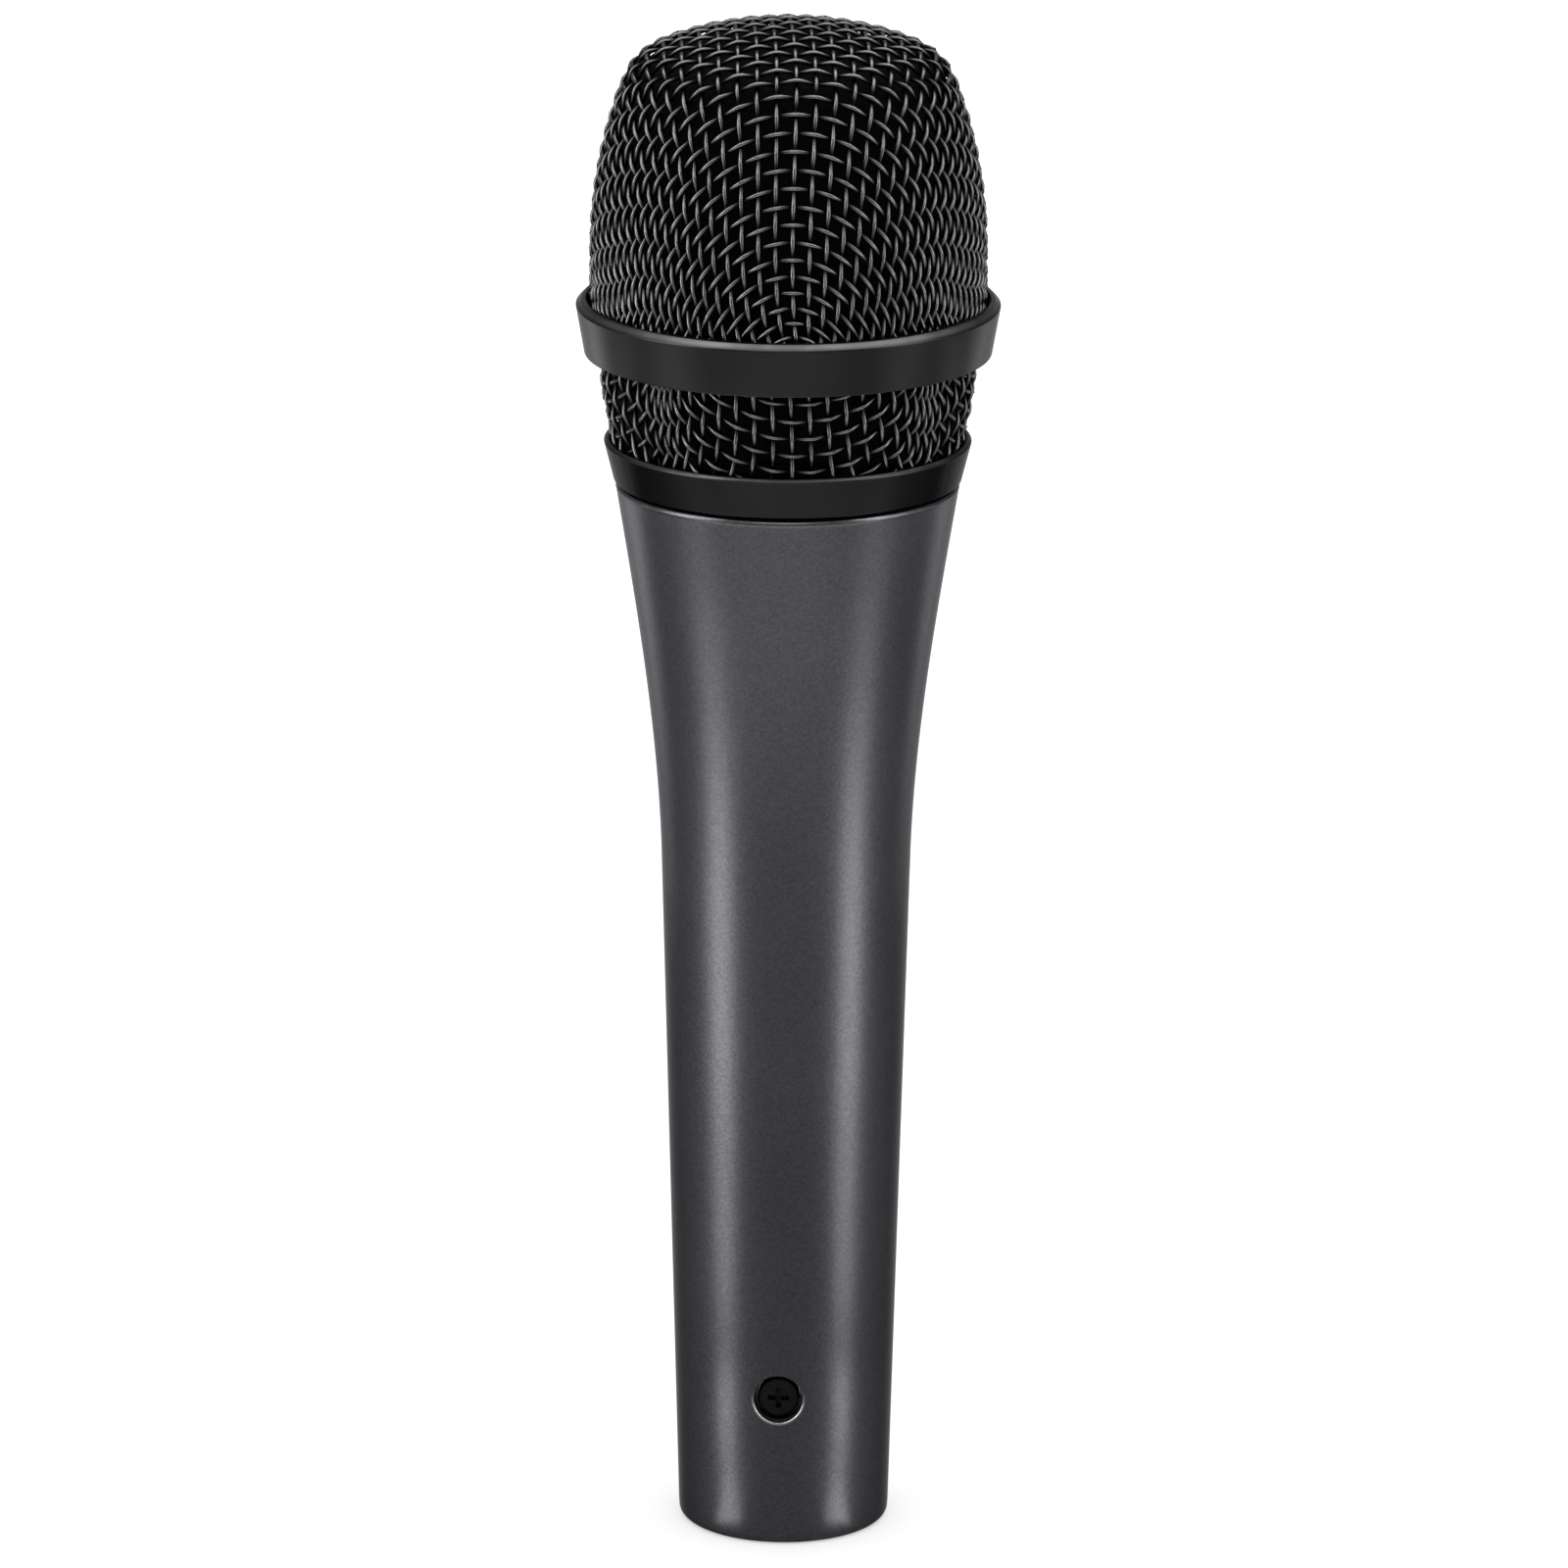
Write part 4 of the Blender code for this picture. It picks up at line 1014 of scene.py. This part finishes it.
def woven_grille(name, former, spread, count, row_over):
    """A plain weave of round wire over a former; rows are over at crossings of this parity."""
    wires = wire_curve(name, WIRE_RADIUS, 1, 4)
    low, high = former.reach[0], former.reach[-1]
    for rows_run in (True, False):
        for fixed in range(-count, count + 1):

            def line(number):
                return spread(fixed, number) if rows_run else spread(number, fixed)

            for run in wire_runs(line, count, low, high):
                wire = wires.splines.new("NURBS")
                wire.points.add(len(run) - 1)
                for point, (number, reach, azimuth) in zip(wire.points, run):
                    lift = 0.0
                    if number is not None:
                        over = ((fixed + number) % 2 == row_over) == rows_run
                        lift = WEAVE_SWING if over else -WEAVE_SWING
                    point.co = (*former.lifted(reach, azimuth, lift), 1.0)
                wire.order_u = 4
                wire.use_endpoint_u = True
    mesh = wire_mesh(name, wires)
    places = np.zeros(len(mesh.vertices) * 3)
    mesh.vertices.foreach_get("co", places)
    # The crest attribute, how high each point stands above the wall, drives the wire finish's painted shade
    # in the troughs and painted light on the crests.
    lift = former.lift_of(places.reshape(-1, 3))
    height = np.clip(lift / (4.0 * WIRE_RADIUS) + 0.5, 0.0, 1.0)
    crest = mesh.attributes.new("crest", "FLOAT", "POINT")
    crest.data.foreach_set("value", height.astype(np.float32))
    return mesh


def foam_liner(wall, far_wall):
    """A closed foam wall between two outlines that follow each other, pitted inward by its cells."""
    coarse, fine = FOAM_CELLS
    body = turned(wall + far_wall, FOAM_SIDES)
    body.normal_update()
    for corner in body.verts:
        pits = noise.noise(corner.co / (coarse * MM)) + 0.6 * noise.noise(corner.co / (fine * MM))
        if math.hypot(corner.co.x, corner.co.y) > 0.5 * MM:
            corner.co -= corner.normal * (FOAM_PIT * MM * max(0.0, 0.6 + pits))
    return body


def build_grilles():
    outline = list(reversed(dome_outline(WEAVE_DEPTH, 120)))
    for step in range(1, 41):
        outline.append((DOME_RADIUS - WEAVE_DEPTH, SKIRT_HIGH + (DOME_LOW - SKIRT_HIGH) * step / 40))
    lengths = np.concatenate([[0.0], np.cumsum(np.hypot(*np.diff(np.array(outline), axis=0).T))])
    dome = Former(outline, lengths, DOME_TURN)
    mesh = woven_grille("dome_weave", dome, dome_spread, DOME_WIRES, 0)
    show("dome_weave", mesh, "grille_wire", "grille_head", "upper_grille")

    levels = [BOWL_LOW + (BOWL_HIGH - BOWL_LOW) * step / 80 for step in range(81)]
    outline = [(bowl_radius(height) - WEAVE_DEPTH, height) for height in levels]
    bowl = Former(outline, levels, BOWL_TURN)
    mesh = woven_grille("bowl_weave", bowl, bowl_spread, BOWL_WIRES, 1)
    show("bowl_weave", mesh, "grille_wire", "grille_head", "lower_grille")

    skirt = [SKIRT_HIGH - (SKIRT_HIGH - DOME_LOW) * step / 10 for step in range(1, 11)]
    outer = [(DOME_RADIUS - FOAM_GAP, height) for height in reversed(skirt)] + dome_outline(FOAM_GAP, 16)
    inner = list(reversed(dome_outline(DOME_FOAM_DEPTH, 12)))
    inner += [(DOME_RADIUS - DOME_FOAM_DEPTH, height) for height in skirt]
    liner = foam_liner(inner, outer)
    thing = show("dome_foam", settle("dome_foam", liner), "foam", "grille_liner", "upper_foam")
    levels = [BOWL_FOAM_LOW + (BOWL_HIGH - BOWL_FOAM_LOW) * step / 14 for step in range(15)]
    outer = [(bowl_radius(height) - FOAM_GAP, height) for height in levels]
    inner = [(bowl_radius(height) - BOWL_FOAM_DEPTH, height) for height in reversed(levels)]
    liner = foam_liner(outer, inner)
    thing = show("bowl_foam", settle("bowl_foam", liner), "foam", "grille_liner", "lower_foam")


def build_screw():
    head = [(0.0, SCREW_TIP), (0.7, SCREW_TIP), (SCREW_RADIUS, 5.7), (SCREW_RADIUS, SCREW_SEAT)]
    head += [(SCREW_HEAD, SCREW_SEAT), (SCREW_HEAD, 11.55)]
    rounding = (SCREW_HEAD - SCREW_ROUNDING, SCREW_TOP - SCREW_ROUNDING)
    head += arc(rounding, SCREW_ROUNDING, 0.0, math.pi / 2, 4) + [(0.0, SCREW_TOP)]
    recess = []
    for size in ((RECESS_LENGTH, RECESS_WIDTH), (RECESS_WIDTH, RECESS_LENGTH)):
        slot = block((*size, 2.0 * RECESS_DEPTH), (0.0, 0.0, SCREW_TOP))
        for corner in slot.verts:
            if corner.co.z < SCREW_TOP * MM:
                corner.co.x *= RECESS_TAPER
                corner.co.y *= RECESS_TAPER
        recess.append(crossways(slot))
    body = cut(crossways(turned(head, SMALL_SIDES)), *recess)
    ridge = thread_ridge(
        SCREW_RADIUS, SCREW_CREST, SCREW_START, SCREW_TURNS, SCREW_PITCH, SCREW_WIDTHS, SMALL_SIDES
    )
    mesh = settle("cross_screw", joined(body, crossways(ridge)))
    show("cross_screw", mesh, "oxide", "screw", "locking_screw")
    washer = turned(tube_outline(*WASHER), SMALL_SIDES, WASHER_TURN)
    bmesh.ops.holes_fill(washer, edges=[edge for edge in washer.edges if edge.is_boundary], sides=4)
    bmesh.ops.recalc_face_normals(washer, faces=washer.faces)
    mesh = settle("split_washer", crossways(soften(washer, 0.05)))
    show("split_washer", mesh, "steel", "screw_washer", "lock_washer")


def build_socket():
    sleeve = soften(turned(tube_outline(*SLEEVE), OUTER_SIDES), 0.22, 3)
    window = soften(block(LATCH_SIZE, LATCH_PLACE), 0.5, 3)
    passage = crossways(turned(rod_outline(PASSAGE_RADIUS, 4.0, 15.0), SMALL_SIDES))
    mesh = settle("socket_sleeve", cut(sleeve, window, passage))
    show("socket_sleeve", mesh, "steel", "handle_body", "connector_sleeve")
    plug = soften(turned(rod_outline(*INSULATOR), OUTER_SIDES), 0.35, 3)
    holes = [crossways(turned(rod_outline(*SCREW_BORE), SMALL_SIDES))]
    for x, y in PIN_PLACES.values():
        holes.append(moved(turned(rod_outline(PIN_BORE, 1.0, 30.0), SMALL_SIDES), x, y))
    mesh = settle("pin_insulator", cut(plug, *holes))
    show("pin_insulator", mesh, "plastic", "handle_body", "connector_insulator")
    nose = (PIN_RADIUS - PIN_ROUNDING, PIN_TIP + PIN_ROUNDING)
    outline = [(0.0, PIN_TIP)] + arc(nose, PIN_ROUNDING, -math.pi / 2, 0.0, 6)
    outline += [(PIN_RADIUS, height) for height in (12.0, 13.4, 24.4)]
    outline += [(PIN_TAIL, 24.7), (PIN_TAIL, PIN_END - 0.2), (PIN_TAIL - 0.2, PIN_END), (0.0, PIN_END)]
    for node, (x, y) in PIN_PLACES.items():
        name = node.replace("contact", "round")
        mesh = settle(name, moved(turned(outline, SMALL_SIDES), x, y))
        show(name, mesh, "silver", "handle_body", node)


def build_capsule():
    cup = [(6.5, 128.12), (10.9, 128.12), (10.9, 137.12), (14.3, 137.12), (14.3, 149.72)]
    cup += [(13.1, 149.72), (13.1, 139.02), (9.7, 139.02), (9.7, 129.52), (6.5, 129.52)]
    yoke = [(0.0, 129.64), (9.4, 129.64), (9.4, 142.24), (8.3, 142.24), (8.3, 131.84), (0.0, 131.84)]
    mount = [(11.2, 131.1), (15.3, 131.1), (15.3, 135.92), (16.8, 135.92), (16.8, LIP_TOP), (14.5, LIP_TOP)]
    mount += [(14.5, 134.3), (11.2, 134.3)]
    # The mount's soft lip lies between its foot and the capsule at its top; it is left fixed where it
    # stands.
    lip = tube_outline(11.2, 14.46, LIP_FOOT, LIP_TOP)
    give = ("handle_body", "capsule", (0.0, 0.0, LIP_FOOT * MM), (0.0, 0.0, LIP_TOP * MM))
    rim = tube_outline(11.9, FILM_RIM, 139.14, 145.54)
    for name, outline, rounding, look, body, node in (
        ("shock_ring", mount, 0.2, "rubber", "handle_body", "shock_mount"),
        ("shock_lip", lip, 0.2, "rubber", give, "shock_mount"),
        ("capsule_cup", cup, 0.25, "plastic", "capsule", "capsule_housing"),
        ("yoke_cup", yoke, 0.2, "steel", "capsule", "magnet_yoke"),
        ("magnet_slug", rod_outline(6.2, 131.96, 139.62), 0.2, "magnet", "capsule", "magnet"),
        ("pole_disc", rod_outline(6.9, 139.74, 142.24), 0.15, "steel", "capsule", "pole_plate"),
        ("film_rim", rim, 0.12, "alloy", "capsule", "diaphragm_rim"),
        ("terminal_disc", tube_outline(2.5, 8.5, 126.8, 128.0), 0.1, "board", "capsule", "terminal_board"),
    ):
        show(name, settle(name, soften(turned(outline), rounding)), look, body, node)

    cover = [(0.0, 148.52), (11.9, 148.52), (11.9, 146.08), (12.8, 146.08), (12.8, 149.72), (0.0, 149.72)]
    holes = [turned(rod_outline(*COVER_HOLE), SMALL_SIDES)]
    for turn in range(COVER_HOLES):
        angle = FULL_TURN * turn / COVER_HOLES
        hole = turned(rod_outline(*COVER_HOLE), SMALL_SIDES)
        holes.append(moved(hole, COVER_CIRCLE * math.cos(angle), COVER_CIRCLE * math.sin(angle)))
    mesh = settle("holed_cover", cut(soften(turned(cover), 0.2), *holes))
    show("holed_cover", mesh, "plastic", "capsule", "capsule_cover")


def build_film_and_coil():
    dome_radius, dome_rise = FILM_DOME
    under = []
    for step in range(13):
        radius = dome_radius * step / 12
        under.append((radius, FILM_LEVEL + dome_rise * (1.0 - (radius / dome_radius) ** 2)))
    under.append((FILM_SEAT, FILM_LEVEL))
    for step in range(1, 17):
        share = step / 16
        ripple = FILM_RIPPLE * math.sin(share * 5.0 * math.pi) * math.sin(share * math.pi)
        under.append((FILM_SEAT + FILM_WIDTH * share, FILM_LEVEL + FILM_RISE * share + ripple))
    under.append((FILM_RIM, FILM_LEVEL + FILM_RISE))
    film = turned(under + [(radius, height + FILM_THICKNESS) for radius, height in reversed(under)])
    give = ("coil", "capsule", (0.0, 0.0, FILM_MOVED * MM), (0.0, 0.0, FILM_STILL * MM))
    show("corrugated_film", settle("corrugated_film", film), "film", give, "diaphragm")

    winding = wire_curve("wound_coil", COIL_WIRE, 1)
    steps = COIL_TURNS * COIL_STEPS
    for radius in COIL_LAYERS:
        layer = winding.splines.new("POLY")
        layer.points.add(steps)
        for step, point in enumerate(layer.points):
            angle = FULL_TURN * step / COIL_STEPS
            height = COIL_LOW + COIL_RISE * step / steps
            point.co = (radius * MM * math.cos(angle), radius * MM * math.sin(angle), height * MM, 1.0)
    show("wound_coil", wire_mesh("wound_coil", winding), "copper", "coil", "voice_coil")


def build_cloth_and_tabs():
    cloth = bmesh.new()
    bmesh.ops.create_circle(cloth, cap_ends=True, segments=INNER_SIDES, radius=CLOTH_RADIUS * MM)
    for _ in range(CLOTH_RINGS):
        middle = max(cloth.faces, key=bmesh.types.BMFace.calc_area)
        bmesh.ops.inset_region(cloth, faces=[middle], thickness=CLOTH_RING * MM)
    for corner in cloth.verts:
        share = corner.co.length / (CLOTH_RADIUS * MM)
        corner.co.z = (CLOTH_HEIGHT + CLOTH_CROWN * (1.0 - share * share)) * MM
    thing = show("screen_cloth", settle("screen_cloth", cloth), "cloth", "capsule", "dust_screen")
    wall = thing.modifiers.new("thickness", "SOLIDIFY")
    wall.thickness = CLOTH_THICKNESS * MM
    wall.offset = 0.0

    for side, node in ((1.0, "terminal_tab_hot"), (-1.0, "terminal_tab_cold")):
        tab = soften(block(TAB_SIZE, (side * TAB_ASIDE, 0.0, TAB_HEIGHT)), 0.12, 2)
        eye = crossways(turned(rod_outline(EYE_RADIUS, -2.0, 2.0), 24), EYE_HEIGHT)
        name = node.replace("terminal", "solder")
        mesh = settle(name, cut(tab, moved(eye, side * TAB_ASIDE, 0.0)))
        show(name, mesh, "brass", "capsule", node)


def build_leads():
    rise = LEAD_HIGH - LEAD_LOW
    bend = ((0.0, 0.0, LEAD_STILL * MM), (0.0, 0.0, LEAD_MOVED * MM))
    for node, pin, side, look in (
        ("wire_hot", "contact_pin_2", 1.0, "red"),
        ("wire_cold", "contact_pin_3", -1.0, "blue"),
    ):
        x, y = PIN_PLACES[pin]
        route = [
            (x, y, LEAD_LOW),
            (x, y, LEAD_LOW + 0.06 * rise),
            (x + side * LEAD_SLACK, y - LEAD_SLACK, LEAD_LOW + 0.2 * rise),
            (side * TAB_ASIDE, LEAD_SLACK, LEAD_LOW + 0.45 * rise),
            (side * (TAB_ASIDE + LEAD_SLACK), -LEAD_SLACK, LEAD_LOW + 0.7 * rise),
            (side * TAB_ASIDE, 0.0, LEAD_LOW + 0.93 * rise),
            (side * TAB_ASIDE, 0.0, LEAD_HIGH),
        ]
        name = node.replace("wire", "lead")
        lead = wire_curve(name, LEAD_RADIUS, 3)
        strand = lead.splines.new("NURBS")
        strand.points.add(len(route) - 1)
        for point, place in zip(strand.points, route):
            point.co = (*(Vector(place) * MM), 1.0)
        strand.order_u = 3
        strand.use_endpoint_u = True
        show(name, wire_mesh(name, lead), look, ("handle_body", "capsule", *bend), node)


def softbox(name, place, target, size, glow):
    """A soft rectangular lamp of a set brightness."""
    lamp = bpy.data.lights.new(name, "AREA")
    lamp.shape = "RECTANGLE"
    lamp.size, lamp.size_y = size
    lamp.energy = glow * math.pi * size[0] * size[1]
    thing = bpy.data.objects.new(name, lamp)
    bpy.context.scene.collection.objects.link(thing)
    thing.location = place
    thing.rotation_mode = "QUATERNION"
    thing.rotation_quaternion = (Vector(target) - Vector(place)).to_track_quat("-Z", "Y")
    thing.visible_camera = False
    thing.visible_diffuse = False
    return lamp


def build_studio():
    floor = bmesh.new()
    bmesh.ops.create_grid(floor, x_segments=1, y_segments=1, size=FLOOR_SIZE)
    mesh = settle("floor", floor)
    pale = bpy.data.materials.new("pale_floor")
    pale.use_nodes = True
    shader = pale.node_tree.nodes["Principled BSDF"]
    shader.inputs["Base Color"].default_value = (0.86, 0.86, 0.86, 1.0)
    shader.inputs["Roughness"].default_value = 0.9
    shader.inputs["Specular IOR Level"].default_value = 0.0
    shader.inputs["Emission Color"].default_value = (1.0, 1.0, 1.0, 1.0)
    shader.inputs["Emission Strength"].default_value = FLOOR_GLOW
    mesh.materials.append(pale)
    thing = bpy.data.objects.new("floor", mesh)
    bpy.context.scene.collection.objects.link(thing)
    world = bpy.data.worlds.new("studio")
    bpy.context.scene.world = world
    world.use_nodes = True
    sky = world.node_tree.nodes["Background"]
    sky.inputs["Color"].default_value = (1.0, 1.0, 1.0, 1.0)
    sky.inputs["Strength"].default_value = SKY_GLOW
    sides = (("left", -1.0), ("right", 1.0))
    for name, (bearing, distance, size, middle, glows) in STRIPS.items():
        for (label, side), glow in zip(sides, glows):
            angle = side * math.radians(bearing) + CAMERA_BEARING
            place = (distance * math.sin(angle), -distance * math.cos(angle), middle)
            softbox(f"{label}_{name}", place, (0.0, 0.0, middle), size, glow)
    back, up = FLOOR_STRIP_AIM
    for label, side in sides:
        skin = side * FLOOR_STRIP_BEARING + CAMERA_BEARING
        away = side * 2.0 * FLOOR_STRIP_BEARING + CAMERA_BEARING
        start = Vector((math.sin(skin), -math.cos(skin), 0.0)) * BASE_RADIUS * MM
        outward = Vector((math.sin(away), -math.cos(away), 0.0))
        place = start + outward * FLOOR_STRIP_OUT + Vector((0.0, 0.0, FLOOR_STRIP_HEIGHT))
        target = place - back * outward + Vector((0.0, 0.0, up))
        softbox(f"{label}_floor_strip", place, target, FLOOR_STRIP_SIZE, FLOOR_STRIP_GLOW)
    softbox("top_box", (0.0, 0.1, 0.75), (0.0, 0.1, 0.1), (0.95, 0.7), 8.0)
    softbox("front_key", (0.0, -0.55, 0.55), (0.0, 0.0, 0.15), (0.45, 0.25), 8.0)
    bounce = softbox("front_bounce", (0.0, -0.19, 0.003), (0.0, -0.19, 1.0), (0.24, 0.2), 3.0)
    bounce.spread = BOUNCE_SPREAD
    bpy.context.scene.view_settings.view_transform = "Standard"


def build_camera():
    lens = bpy.data.cameras.new("camera")
    lens.sensor_width = SENSOR_WIDTH
    lens.lens = SENSOR_WIDTH * FOCAL_LENGTH / PICTURE_WIDTH
    lens.clip_start = 0.01
    lens.clip_end = 20.0
    view = bpy.data.objects.new("camera", lens)
    bpy.context.scene.collection.objects.link(view)
    bpy.context.scene.camera = view
    back = CAMERA_DISTANCE * math.cos(CAMERA_TILT)
    up = CAMERA_DISTANCE * math.sin(CAMERA_TILT)
    spot = Matrix.Translation((CAMERA_ASIDE, -back, CAMERA_AIM + up))
    aim = Matrix.Rotation(math.pi / 2 - CAMERA_TILT, 4, "X") @ Matrix.Rotation(CAMERA_ROLL, 4, "Z")
    view.matrix_world = Matrix.Rotation(CAMERA_BEARING, 4, "Z") @ spot @ aim


build_camera()
build_studio()
build_handle()
build_collar_and_ring()
build_grilles()
build_screw()
build_socket()
build_capsule()
build_film_and_coil()
build_cloth_and_tabs()
build_leads()

spring_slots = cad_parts["ground_spring"].data.materials
spring_slots.clear()
spring_slots.append(FINISHES["brass"])
